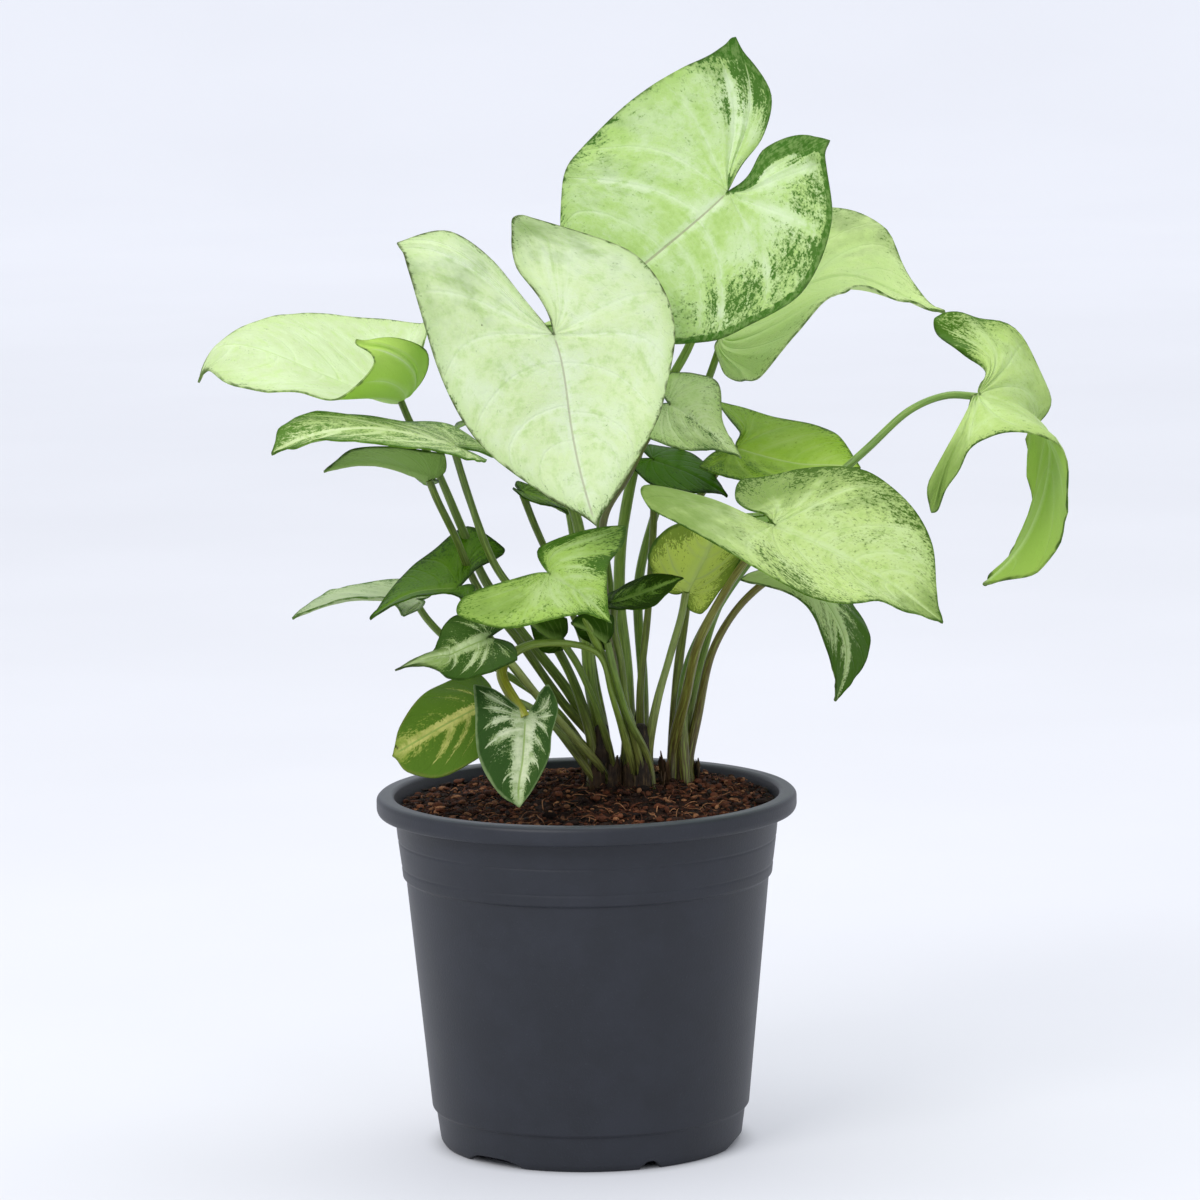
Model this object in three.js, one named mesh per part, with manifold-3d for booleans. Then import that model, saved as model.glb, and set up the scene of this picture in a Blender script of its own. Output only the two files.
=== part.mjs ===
// Potted syngonium: an arrowhead vine with its leaves, stems, soil and nursery pot.
// Millimetres, +Z up, the front of the plant faces -Y, and the origin is the centre of the pot's base.

import * as THREE from "three";
import { mergeVertices } from "three/addons/utils/BufferGeometryUtils.js";
import Module from "manifold-3d";

const wasm = await Module();
wasm.setup();

// Driving dimensions of the pot
const RIM_RADIUS = 65;
const POT_HEIGHT = 110;
const BASE_RADIUS = 46.8;
const WALL = 1.2;
const LIP_WIDTH = 6;
const LIP_DEPTH = 6;
const COLLAR_HEIGHT = 19;
const FOOT_HEIGHT = 11.5;
const FLOOR = 1.6;
const CHANNEL_HEIGHT = 3;
const CHANNEL_RADIUS = 40;
const POT_SIDES = 40;
const NOTCH_FIRST = -41;
const NOTCH_HALF_WIDE = 11.5;
const NOTCH_HALF_NARROW = 3.2;

// Driving dimensions of the soil and the stems
const GAP = 0.3;
const SOIL_EDGE = 105.5;
const SOIL_MOUND = 8.5;
const SOIL_CENTRE = [10, 8];
const SOIL_SPREAD = 34;
const STEM_RADIUS = 4.2;
const STEM_ROOT = 84;
const STEM_TOP = 132;

// Driving dimensions of the leaves
const HALF_THICKNESS = 0.35;
const PETIOLE_TIP = 1.15;
const RIB_DEPTH = 1;

// Colours seen in daylight
const GREEN = {
  pale: 0xc6dd96,
  fresh: 0xa9cc78,
  mid: 0x7fae54,
  dark: 0x3f6f3c,
};

const material = (color, roughness) => new THREE.MeshStandardMaterial({ color, roughness, metalness: 0 });
const radians = THREE.MathUtils.degToRad;

// Triangles thinner than this are merged with their neighbours.
const SLIVER = 0.02;

// A leaf is drawn flat first. Its petiole joins at 0,0, its tip is at 1,0, and side A lies at +y.
// This is the edge of side A from the tip round the back lobe to the sinus.
const HALF_EDGE = [
  [1, 0], [0.93, 0.075], [0.82, 0.21], [0.62, 0.41], [0.43, 0.53], [0.2, 0.6], [0, 0.62], [-0.2, 0.615],
  [-0.38, 0.6], [-0.52, 0.585], [-0.56, 0.56], [-0.55, 0.45], [-0.49, 0.29], [-0.38, 0.18], [-0.2, 0.08],
  [-0.07, 0.024], [0, 0],
];

// The places on the flat leaf whose position in space is given for each leaf below.
const MARKS = {
  attach: [0, 0], mid: [0.5, 0], apex: [1, 0],
  frontA: [0.62, 0.41], wideA: [0.1, 0.62], backA: [-0.25, 0.615], lobeA: [-0.56, 0.56], sinusA: [-0.38, 0.18],
  frontB: [0.62, -0.41], wideB: [0.1, -0.62], backB: [-0.25, -0.615], lobeB: [-0.56, -0.56],
  sinusB: [-0.38, -0.18],
  neck: [0.9, 0], tipA: [0.82, 0.21], sideA: [0.36, 0.56], innerA: [-0.5, 0.32],
  tipB: [0.82, -0.21], sideB: [0.36, -0.56], innerB: [-0.5, -0.32],
};

// The short upright stems that the petioles grow from, by their place on the soil.
const STEMS = {
  stem_left: [5, -3],
  stem_middle: [17, -5],
  stem_right: [29, 6],
  stem_back: [16, 12],
  stem_back_left: [4, 12],
};

// Each leaf: the stem it grows from and how high, the run of its petiole, and where its marks lie.
const LEAVES = {
  leaf_top: {
    stem: "stem_back", from: 128, radius: 2.3, color: GREEN.pale,
    petiole: [[13, 10, 146], [11, 10, 171], [13, 12, 194], [21, 14, 224], [34, 16, 247], [43, 17, 272]],
    attach: [46, 12, 294], mid: [21, 0, 274], apex: [-5, -8, 253],
    frontA: [37, -12, 250], sideA: [52, -10, 255], wideA: [68, -6, 264], backA: [78, 6, 287],
    lobeA: [75, 14, 309], innerA: [66, 18, 310], sinusA: [57, 20, 306],
    frontB: [-5, 6, 295], sideB: [0, 12, 307], wideB: [16, 20, 322], backB: [34, 30, 332],
    lobeB: [49, 36, 338], innerB: [60, 34, 322], sinusB: [57, 27, 309],
  },
  leaf_front: {
    stem: "stem_left", from: 129, radius: 2.5, color: GREEN.pale,
    petiole: [[2, -3, 142], [0, -4, 173], [-1, -7, 192], [-5, -11, 208], [-8, -18, 233]],
    attach: [-8, -30, 255], mid: [-3, -42, 229], apex: [4, -62, 201],
    frontA: [21, -52, 227], sideA: [26, -42, 240], wideA: [29, -32, 257], backA: [16, -22, 279],
    lobeA: [-18, -4, 289], innerA: [-20, -6, 283], sinusA: [-19, -13, 274],
    frontB: [-27, -52, 221], wideB: [-45, -36, 252], backB: [-52, -28, 276], lobeB: [-54, -22, 283],
    innerB: [-39, -16, 285], sinusB: [-26, -18, 276],
  },
  leaf_right_back: {
    stem: "stem_back", from: 123, radius: 2, color: GREEN.fresh,
    petiole: [[18, 18, 141], [17, 24, 170], [22, 26, 191], [32, 28, 216], [40, 30, 235]],
    attach: [44, 34, 247], mid: [82, 42, 265], apex: [114, 34, 254],
    tipA: [105, 44, 261], frontA: [97, 62, 277], wideA: [64, 70, 285], lobeA: [38, 66, 275],
    sinusA: [40, 46, 258],
    tipB: [101, 32, 258], frontB: [90, 28, 262], wideB: [74, 10, 259], backB: [63, 6, 246],
    lobeB: [51, 12, 235], sinusB: [43, 26, 239],
  },
  leaf_droop: {
    stem: "stem_right", from: 124, radius: 2, color: GREEN.fresh,
    petiole: [[30, 4, 138], [34, 0, 154], [51, -6, 182], [67, -8, 198], [87, -8, 216], [101, -6, 228], [112, -5, 232]],
    attach: [122, -4, 232], mid: [145, 4, 214], apex: [123, -6, 173],
    tipA: [131, 4, 180], frontA: [139, 12, 197], sideA: [138, 18, 215], wideA: [146, 24, 227],
    backA: [131, 26, 251], lobeA: [110, 24, 253], innerA: [113, 18, 246], sinusA: [123, 12, 240],
    tipB: [139, -12, 178], frontB: [147, -18, 194], sideB: [145, -22, 218], wideB: [128, -30, 223],
    backB: [115, -32, 215], lobeB: [106, -30, 199], innerB: [106, -28, 208], sinusB: [115, -18, 224],
  },
  leaf_left: {
    stem: "stem_back_left", from: 128, radius: 2, color: GREEN.pale,
    petiole: [[-4, 8, 138], [-20, 0, 161], [-30, -2, 176], [-37, -5, 193], [-45, -8, 213], [-52, -9, 226]],
    attach: [-55, -10, 234], mid: [-84, -8, 244], neck: [-112, -7, 249], apex: [-117, -10, 240],
    tipA: [-109, -16, 241], frontA: [-96, -30, 239], sideA: [-83, -36, 239], wideA: [-73, -38, 237],
    backA: [-62, -40, 248], lobeA: [-66, -40, 254], innerA: [-56, -34, 255], sinusA: [-47, -24, 250],
    tipB: [-107, 4, 253], frontB: [-97, 12, 257], wideB: [-76, 22, 257], backB: [-61, 22, 255],
    lobeB: [-48, 18, 254], sinusB: [-48, 0, 248],
  },
  leaf_left_flat: {
    stem: "stem_left", from: 126, radius: 1.8, color: GREEN.mid,
    petiole: [[-1, -6, 138], [-8, -14, 156], [-19, -24, 173], [-27, -32, 186], [-34, -40, 207]],
    attach: [-38, -44, 223], mid: [-65, -46, 229], apex: [-93, -46, 222],
    frontA: [-77, -64, 228], wideA: [-51, -72, 226], lobeA: [-31, -64, 221],
    tipB: [-91, -38, 228], frontB: [-83, -30, 232], wideB: [-55, -20, 228], backB: [-39, -18, 226],
    lobeB: [-27, -24, 218],
  },
  leaf_left_under: {
    stem: "stem_back_left", from: 124, radius: 1.7, color: GREEN.dark,
    petiole: [[-7, 5, 137], [-20, -6, 158], [-32, -12, 175], [-39, -20, 193], [-44, -27, 205]],
    attach: [-46, -30, 212], mid: [-62, -31, 217], apex: [-78, -32, 215],
    frontA: [-69, -42, 222], wideA: [-53, -46, 223], lobeA: [-41, -40, 220],
    frontB: [-67, -20, 216], wideB: [-55, -12, 213], lobeB: [-47, -16, 208],
  },
  leaf_left_dark: {
    stem: "stem_left", from: 122, radius: 1.7, color: GREEN.dark,
    petiole: [[-8, -8, 133], [-22, -18, 152], [-33, -24, 168]],
    attach: [-38, -26, 178], mid: [-52, -30, 177], apex: [-65, -34, 170],
    frontA: [-55, -42, 176], wideA: [-43, -46, 179], lobeA: [-35, -44, 177],
    frontB: [-55, -14, 180], wideB: [-45, -4, 187], backB: [-35, 0, 193], lobeB: [-24, -4, 186],
    sinusB: [-31, -16, 183],
  },
  leaf_left_low: {
    stem: "stem_back_left", from: 119, radius: 1.5, color: GREEN.fresh,
    petiole: [[-8, 12, 132], [-26, 12, 146], [-40, 12, 154], [-48, 11, 162]],
    attach: [-52, 10, 169], mid: [-72, 4, 171], apex: [-90, -2, 166],
    frontA: [-75, -10, 172], wideA: [-61, -14, 173], lobeA: [-55, -10, 167],
    frontB: [-81, 18, 170], wideB: [-64, 26, 173], lobeB: [-47, 24, 173],
  },
  leaf_centre: {
    stem: "stem_middle", from: 128, radius: 2, color: GREEN.fresh,
    petiole: [[11, -12, 141], [5, -24, 157], [-2, -36, 173]],
    attach: [-10, -44, 184], mid: [0, -56, 179], apex: [8, -70, 173],
    frontA: [7, -62, 182], wideA: [8, -50, 188], backA: [12, -42, 192], lobeA: [12, -34, 197],
    innerA: [-2, -34, 195], sinusA: [-13, -36, 191],
    frontB: [1, -66, 175], wideB: [-10, -64, 173], backB: [-24, -60, 170], lobeB: [-38, -54, 174],
    innerB: [-34, -50, 179], sinusB: [-21, -47, 183],
  },
  leaf_right: {
    stem: "stem_right", from: 127, radius: 2, color: GREEN.fresh,
    petiole: [[31, -4, 140], [35, -14, 158], [42, -22, 173], [49, -31, 185]],
    attach: [58, -38, 197], mid: [84, -44, 185], apex: [108, -52, 169],
    frontA: [106, -30, 189], wideA: [87, -14, 210], backA: [65, -14, 211], lobeA: [48, -18, 208],
    sinusA: [51, -32, 201],
    frontB: [88, -62, 177], wideB: [65, -64, 180], backB: [39, -60, 195], lobeB: [20, -54, 205],
    innerB: [20, -50, 211], sinusB: [39, -42, 206],
  },
  leaf_right_mid: {
    stem: "stem_right", from: 129, radius: 1.8, color: GREEN.fresh,
    petiole: [[29, 12, 146], [32, 18, 167], [33, 18, 192], [41, 15, 206]],
    attach: [48, 12, 215], mid: [67, 10, 210], apex: [86, 8, 209],
    frontA: [79, 28, 217], wideA: [61, 38, 221], lobeA: [43, 40, 226], sinusA: [49, 20, 219],
    frontB: [67, -4, 207], wideB: [50, -9, 207], lobeB: [36, -4, 211],
  },
  leaf_mid_pale: {
    stem: "stem_back", from: 127, radius: 1.7, color: GREEN.pale,
    petiole: [[9, 6, 148], [6, 3, 181], [7, 1, 196], [14, -1, 208], [20, -6, 220]],
    attach: [27, -8, 231], mid: [37, -13, 225], apex: [49, -14, 215],
    frontA: [43, -4, 226], wideA: [42, 8, 236], lobeA: [28, 14, 238],
    frontB: [40, -20, 218], wideB: [29, -24, 219], lobeB: [15, -14, 224],
  },
  leaf_mid_dark: {
    stem: "stem_back", from: 119, radius: 1.5, color: GREEN.dark,
    petiole: [[17, 5, 138], [20, 7, 167], [22, 9, 196]],
    attach: [22, 8, 212], mid: [33, 6, 208], apex: [45, 4, 201],
    frontA: [41, 13, 206], wideA: [34, 22, 212], lobeA: [21, 22, 215],
    frontB: [36, -4, 203], wideB: [23, -6, 205], lobeB: [15, 0, 211],
  },
  leaf_under: {
    stem: "stem_middle", from: 126, radius: 1.6, color: GREEN.fresh,
    petiole: [[22, -6, 138], [26, -7, 152], [30, -9, 166]],
    attach: [31, -12, 174], mid: [37, -16, 186], apex: [43, -18, 199],
    frontA: [49, -8, 190], wideA: [47, -4, 180], lobeA: [36, -8, 166],
    frontB: [28, -26, 196], wideB: [20, -26, 188], lobeB: [21, -22, 181],
  },
  leaf_curl: {
    stem: "stem_middle", from: 122, radius: 1.4, color: GREEN.dark,
    petiole: [[13, -14, 136], [11, -19, 154], [9, -21, 164]],
    attach: [9, -22, 172], mid: [19, -27, 176], apex: [30, -33, 181],
    frontA: [21, -26, 181], wideA: [12, -17, 176], lobeA: [7, -14, 173],
    frontB: [22, -34, 173], wideB: [14, -31, 171], lobeB: [7, -27, 171],
  },
  leaf_hang_right: {
    stem: "stem_right", from: 120, radius: 1.7, color: GREEN.dark,
    petiole: [[35, 7, 133], [40, 2, 154], [50, -4, 170], [61, -8, 178]],
    attach: [69, -12, 177], mid: [80, -16, 158], apex: [77, -14, 139],
    frontA: [87, -8, 152], sideA: [87, -4, 161], wideA: [83, -2, 167], lobeA: [82, 4, 179],
    frontB: [76, -20, 149], wideB: [68, -24, 170], backB: [57, -22, 176], lobeB: [48, -18, 178],
  },
  leaf_variegated_top: {
    stem: "stem_left", from: 119, radius: 1.4, color: GREEN.dark,
    petiole: [[-4, -16, 130], [-15, -32, 146], [-23, -42, 158]],
    attach: [-29, -46, 165], mid: [-40, -50, 161], neck: [-48, -52, 160], apex: [-57, -52, 157],
    tipA: [-44, -56, 157], frontA: [-41, -59, 155], wideA: [-31, -62, 156], lobeA: [-20, -56, 160],
    tipB: [-46, -46, 161], frontB: [-44, -43, 164], wideB: [-39, -40, 171], lobeB: [-24, -34, 170],
  },
  leaf_variegated_hang: {
    stem: "stem_middle", from: 118, radius: 2, color: GREEN.dark,
    petiole: [[8, -22, 144], [4, -27, 157], [-7, -31, 161], [-19, -34, 160], [-25, -39, 154]],
    attach: [-18, -48, 141], mid: [-19, -50, 128], apex: [-20, -56, 115],
    tipA: [-16, -54, 120], frontA: [-12, -52, 127], wideA: [-10, -48, 136], backA: [-8, -46, 144],
    lobeA: [-11, -42, 150], sinusA: [-15, -44, 145],
    tipB: [-26, -56, 119], frontB: [-31, -54, 127], wideB: [-33, -52, 141], lobeB: [-33, -46, 151],
    sinusB: [-24, -46, 147],
  },
  leaf_variegated_low: {
    stem: "stem_left", from: 115, radius: 1.5, color: GREEN.dark,
    petiole: [[-5, -9, 126], [-14, -15, 137], [-24, -19, 142]],
    attach: [-31, -22, 141], mid: [-44, -26, 135], apex: [-59, -30, 127],
    tipA: [-55, -34, 123], frontA: [-48, -36, 121], wideA: [-36, -38, 125], lobeA: [-24, -30, 132],
    tipB: [-57, -26, 134], frontB: [-53, -20, 140], wideB: [-44, -12, 146], lobeB: [-32, -8, 148],
  },
  leaf_small_dark: {
    stem: "stem_back_left", from: 129, radius: 1.4, color: GREEN.dark,
    petiole: [[1, 13, 149], [-8, 5, 176], [-15, -2, 194]],
    attach: [-18, -6, 204], mid: [-11, -8, 202], apex: [-4, -10, 198],
    frontA: [-7, -2, 200], wideA: [-13, 4, 204], lobeA: [-20, 6, 206],
    frontB: [-9, -16, 201], wideB: [-16, -18, 203], lobeB: [-21, -12, 206],
  },
  leaf_low_under_left: {
    stem: "stem_left", from: 125, radius: 1.3, color: GREEN.dark,
    petiole: [[4, -12, 136], [-2, -18, 152]],
    attach: [-7, -22, 161], mid: [-12, -26, 164], apex: [-17, -30, 169],
    frontA: [-14, -34, 171], wideA: [-10, -34, 171], lobeA: [-5, -30, 168],
    frontB: [-15, -20, 160], wideB: [-12, -16, 156], lobeB: [-7, -14, 156],
  },
  leaf_low_under_right: {
    stem: "stem_middle", from: 124, radius: 1.3, color: GREEN.dark,
    petiole: [[13, -17, 136], [9, -24, 151]],
    attach: [7, -26, 161], mid: [2, -30, 165], apex: [-4, -34, 168],
    frontA: [0, -36, 171], wideA: [5, -36, 171], lobeA: [9, -32, 169],
    frontB: [-1, -26, 162], wideB: [4, -22, 159], lobeB: [8, -18, 156],
  },
  leaf_back_high: {
    stem: "stem_back", from: 129, radius: 2, color: GREEN.fresh,
    petiole: [[12, 19, 142], [8, 23, 170], [4, 25, 205], [3, 32, 236]],
    attach: [4, 44, 252], mid: [2, 72, 252], apex: [-4, 104, 238],
    frontB: [22, 80, 243], wideB: [37, 50, 249], lobeB: [32, 26, 254],
    frontA: [-20, 76, 241], wideA: [-32, 44, 246], lobeA: [-26, 22, 251],
  },
  leaf_back_left: {
    stem: "stem_back_left", from: 127, radius: 1.8, color: GREEN.fresh,
    petiole: [[3, 17, 142], [-1, 20, 170], [-5, 22, 198], [-12, 28, 218]],
    attach: [-14, 34, 226], mid: [-22, 54, 226], apex: [-34, 76, 216],
    frontB: [-10, 66, 220], wideB: [8, 44, 224], lobeB: [8, 26, 226],
    frontA: [-39, 52, 218], wideA: [-38, 28, 222], lobeA: [-27, 14, 224],
  },
  leaf_back_right: {
    stem: "stem_right", from: 126, radius: 1.8, color: GREEN.fresh,
    petiole: [[34, 12, 140], [40, 18, 160], [49, 28, 177], [57, 37, 186]],
    attach: [62, 42, 190], mid: [74, 66, 188], apex: [82, 94, 176],
    frontB: [96, 66, 180], wideB: [94, 38, 184], lobeB: [80, 20, 188],
    frontA: [56, 80, 179], wideA: [36, 58, 186], lobeA: [34, 40, 189],
  },
};

// A smooth map from the flat leaf into space that passes through all the marks of one leaf.
function leafMap(leaf) {
  const names = Object.keys(MARKS).filter((name) => leaf[name]);
  const flat = names.map((name) => MARKS[name]);
  const size = names.length + 3;
  const bend = ([ax, ay], [bx, by]) => {
    const square = (ax - bx) ** 2 + (ay - by) ** 2;
    return square > 1e-12 ? square * Math.log(square) : 0;
  };
  const rows = [];
  flat.forEach((point, i) => {
    rows.push([...flat.map((other) => bend(point, other)), 1, ...point, ...leaf[names[i]]]);
  });
  rows.push([...flat.map(() => 1), 0, 0, 0, 0, 0, 0]);
  rows.push([...flat.map(([x]) => x), 0, 0, 0, 0, 0, 0]);
  rows.push([...flat.map(([, y]) => y), 0, 0, 0, 0, 0, 0]);
  for (let column = 0; column < size; column += 1) {
    let pivot = column;
    for (let i = column + 1; i < size; i += 1) {
      if (Math.abs(rows[i][column]) > Math.abs(rows[pivot][column])) pivot = i;
    }
    [rows[column], rows[pivot]] = [rows[pivot], rows[column]];
    for (let i = 0; i < size; i += 1) {
      if (i === column) continue;
      const share = rows[i][column] / rows[column][column];
      for (let j = column; j < size + 3; j += 1) rows[i][j] -= share * rows[column][j];
    }
  }
  const weights = rows.map((row, i) => [0, 1, 2].map((axis) => row[size + axis] / row[i]));
  return (x, y) => {
    const terms = [...flat.map((point) => bend(point, [x, y])), 1, x, y];
    return new THREE.Vector3(...[0, 1, 2].map((axis) => terms.reduce((sum, t, i) => sum + t * weights[i][axis], 0)));
  };
}

const addToShape = (list, ...corners) => list.push(...corners);

// A closed manifold solid from corner positions and triangles.
function solid(corners, triangles) {
  const vertProperties = new Float32Array(corners.flatMap((corner) => [corner.x, corner.y, corner.z]));
  const mesh = new wasm.Mesh({ numProp: 3, vertProperties, triVerts: new Uint32Array(triangles) });
  mesh.merge();
  return new wasm.Manifold(mesh);
}

// The flat leaf as corners and triangles: columns run from the midrib to the edge.
function flatLeaf(columns, rows) {
  const edge = new THREE.SplineCurve(HALF_EDGE.map(([x, y]) => new THREE.Vector2(x, y)));
  const corners = [];
  const index = new Map();
  const corner = (x, y) => {
    const key = `${x.toFixed(5)},${y.toFixed(5)}`;
    if (!index.has(key)) {
      index.set(key, corners.length);
      corners.push([x, y]);
    }
    return index.get(key);
  };
  const triangles = [];
  const push = (side, a, b, c) => {
    if (a === b || b === c || a === c) return;
    addToShape(triangles, ...(side > 0 ? [a, b, c] : [a, c, b]));
  };
  for (const side of [1, -1]) {
    const grid = [];
    for (let i = 0; i <= columns; i += 1) {
      const rim = edge.getPoint(i / columns);
      const foot = i === columns ? 0 : Math.max(0, rim.x - 0.5 * rim.y);
      const column = [];
      for (let j = 0; j <= rows; j += 1) {
        const t = j / rows;
        const x = foot + (rim.x - foot) * t;
        column.push(corner(i === 0 ? 1 : x, side * rim.y * t + 0));
      }
      grid.push(column);
    }
    for (let i = 0; i < columns; i += 1) {
      for (let j = 0; j < rows; j += 1) {
        push(side, grid[i][j], grid[i][j + 1], grid[i + 1][j + 1]);
        push(side, grid[i][j], grid[i + 1][j + 1], grid[i + 1][j]);
      }
    }
  }
  return { corners, triangles };
}

// The blade of a leaf as a thin closed solid. Its midrib stands out below and fades toward the tip.
function blade(map, columns, rows) {
  const { corners, triangles } = flatLeaf(columns, rows);
  const places = corners.map(([x, y]) => map(x, y));
  const normals = places.map(() => new THREE.Vector3());
  const edges = new Map();
  for (let i = 0; i < triangles.length; i += 3) {
    const [a, b, c] = triangles.slice(i, i + 3);
    const face = places[b].clone().sub(places[a]).cross(places[c].clone().sub(places[a]));
    [a, b, c].forEach((k) => normals[k].add(face));
    [[a, b], [b, c], [c, a]].forEach(([p, q]) => {
      if (!edges.delete(`${q},${p}`)) edges.set(`${p},${q}`, [p, q]);
    });
  }
  normals.forEach((normal) => normal.normalize());
  const count = corners.length;
  const all = places.map((place, i) => place.clone().addScaledVector(normals[i], HALF_THICKNESS));
  places.forEach((place, i) => {
    const [x, y] = corners[i];
    const rib = y === 0 && x < 1 ? RIB_DEPTH * (1 - x) : 0;
    all.push(place.clone().addScaledVector(normals[i], -HALF_THICKNESS - rib));
  });
  const faces = [...triangles];
  for (let i = 0; i < triangles.length; i += 3) {
    const [a, b, c] = triangles.slice(i, i + 3);
    addToShape(faces, a + count, c + count, b + count);
  }
  for (const [p, q] of edges.values()) addToShape(faces, q, p, p + count, q, p + count, q + count);
  return solid(all, faces);
}

// A closed tube of changing radius along a smooth curve.
function taperedTube(points, radii, steps, sides) {
  const curve = new THREE.CatmullRomCurve3(points, false, "centripetal");
  const frames = curve.computeFrenetFrames(steps, false);
  const corners = [];
  const faces = [];
  for (let i = 0; i <= steps; i += 1) {
    const centre = curve.getPointAt(i / steps);
    const radius = radii(i / steps);
    for (let k = 0; k < sides; k += 1) {
      const angle = (2 * Math.PI * k) / sides;
      corners.push(centre.clone()
        .addScaledVector(frames.normals[i], Math.cos(angle) * radius)
        .addScaledVector(frames.binormals[i], Math.sin(angle) * radius));
    }
  }
  for (let i = 0; i < steps; i += 1) {
    for (let k = 0; k < sides; k += 1) {
      const a = i * sides + k;
      const b = i * sides + ((k + 1) % sides);
      addToShape(faces, a, b, b + sides, a, b + sides, a + sides);
    }
  }
  const last = steps * sides;
  for (let k = 1; k < sides - 1; k += 1) {
    addToShape(faces, 0, k + 1, k);
    addToShape(faces, last, last + k, last + k + 1);
  }
  return solid(corners, faces);
}

const vector = (point) => new THREE.Vector3(...point);

// The petiole of a leaf, from the axis of its stem to just under its blade.
function petiole(leaf, normal, extra, sides) {
  const [x, y] = STEMS[leaf.stem];
  const end = vector(leaf.attach).addScaledVector(normal, -0.9);
  const points = [vector([x, y, leaf.from]), ...leaf.petiole.map(vector), end];
  const radii = (t) => THREE.MathUtils.lerp(leaf.radius, PETIOLE_TIP, Math.min(1, t * 1.25)) + extra;
  const steps = Math.max(6, Math.round(vector(leaf.attach).distanceTo(points[0]) / 12));
  return taperedTube(points, radii, steps, sides);
}

function leafNormal(map) {
  const along = map(0.05, 0).sub(map(0, 0));
  const across = map(0.02, 0.05).sub(map(0.02, -0.05));
  return along.cross(across).normalize();
}

// A soil surface with a low mound round the stems and small lumps.
function soilHeight(x, y) {
  const [cx, cy] = SOIL_CENTRE;
  const away = ((x - cx) ** 2 + (y - cy) ** 2) / (2 * SOIL_SPREAD ** 2);
  const lumps = 0.5 * Math.sin(x * 0.45 + 1.3) * Math.cos(y * 0.38) + 0.35 * Math.sin(x * 0.9 - y * 0.7);
  return SOIL_EDGE + SOIL_MOUND * Math.exp(-away * 1.6) + lumps;
}

// The outside of the pot from the foot up to the lip, as radius and height.
const collarRadius = 57.4;
const POT_OUTSIDE = [
  [BASE_RADIUS - 1.3, 0], [BASE_RADIUS - 0.3, 0.6], [BASE_RADIUS, 2],
  [48, FOOT_HEIGHT - 0.7], [49.2, FOOT_HEIGHT + 0.3],
  [56.2, POT_HEIGHT - LIP_DEPTH - COLLAR_HEIGHT - 1], [collarRadius, POT_HEIGHT - LIP_DEPTH - COLLAR_HEIGHT],
  [58.6, 96],
  [59.6, POT_HEIGHT - LIP_DEPTH], [RIM_RADIUS - 0.8, POT_HEIGHT - LIP_DEPTH],
  [RIM_RADIUS, POT_HEIGHT - LIP_DEPTH + 0.8], [RIM_RADIUS, POT_HEIGHT - 1.6],
  [RIM_RADIUS - 1.4, POT_HEIGHT],
];
// The inside of the pot from the lip down to the floor.
const POT_INSIDE = [
  [RIM_RADIUS - LIP_WIDTH + 0.5, POT_HEIGHT], [RIM_RADIUS - LIP_WIDTH - 0.4, POT_HEIGHT - 1],
  [58.4, POT_HEIGHT - LIP_DEPTH], [56.2, POT_HEIGHT - LIP_DEPTH - COLLAR_HEIGHT],
  [55, POT_HEIGHT - LIP_DEPTH - COLLAR_HEIGHT - 1], [48, FOOT_HEIGHT + 0.6],
  [46.7, FOOT_HEIGHT - 0.4], [46, CHANNEL_HEIGHT + FLOOR],
];
const FLOOR_INSIDE = [
  [CHANNEL_RADIUS - FLOOR, CHANNEL_HEIGHT + FLOOR], [CHANNEL_RADIUS - FLOOR - 1, FLOOR],
];
const FLOOR_UNDER = [
  [0, 0], [CHANNEL_RADIUS, 0], [CHANNEL_RADIUS + 0.4, CHANNEL_HEIGHT],
  [BASE_RADIUS - WALL - 0.8, CHANNEL_HEIGHT], [BASE_RADIUS - WALL - 1.3, 0],
];

// A solid of revolution about +Z from a profile of radius and height that closes on itself or the axis.
function turned(profile, sides) {
  const geometry = new THREE.LatheGeometry(profile.map(([r, z]) => new THREE.Vector2(r, z)), sides);
  geometry.rotateX(Math.PI / 2);
  geometry.deleteAttribute("normal");
  geometry.deleteAttribute("uv");
  const merged = mergeVertices(geometry, 1e-4);
  const place = merged.getAttribute("position");
  const corners = Array.from({ length: place.count }, (_, i) => new THREE.Vector3().fromBufferAttribute(place, i));
  const faces = [];
  for (let i = 0; i < merged.index.count; i += 3) {
    const [a, b, c] = [0, 1, 2].map((k) => merged.index.getX(i + k));
    if (a !== b && b !== c && a !== c) addToShape(faces, a, b, c);
  }
  return solid(corners, faces);
}

// An arched notch cut outward through the pot's foot at one bearing from the front.
function footNotch(bearing, halfWidth) {
  const arch = new THREE.Shape();
  const top = CHANNEL_HEIGHT - 0.3;
  arch.moveTo(-halfWidth, -1);
  arch.lineTo(-halfWidth, 0);
  arch.quadraticCurveTo(-halfWidth * 0.8, top, 0, top);
  arch.quadraticCurveTo(halfWidth * 0.8, top, halfWidth, 0);
  arch.lineTo(halfWidth, -1);
  const geometry = new THREE.ExtrudeGeometry(arch, { depth: 14, bevelEnabled: false, curveSegments: 5 });
  geometry.rotateX(Math.PI / 2);
  geometry.translate(0, -39.5, 0);
  geometry.rotateZ(radians(bearing));
  return fromGeometry(geometry);
}

function fromGeometry(geometry) {
  geometry.deleteAttribute("normal");
  geometry.deleteAttribute("uv");
  const merged = mergeVertices(geometry, 1e-4);
  const place = merged.getAttribute("position");
  const corners = Array.from({ length: place.count }, (_, i) => new THREE.Vector3().fromBufferAttribute(place, i));
  return solid(corners, Array.from(merged.index.array));
}

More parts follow.
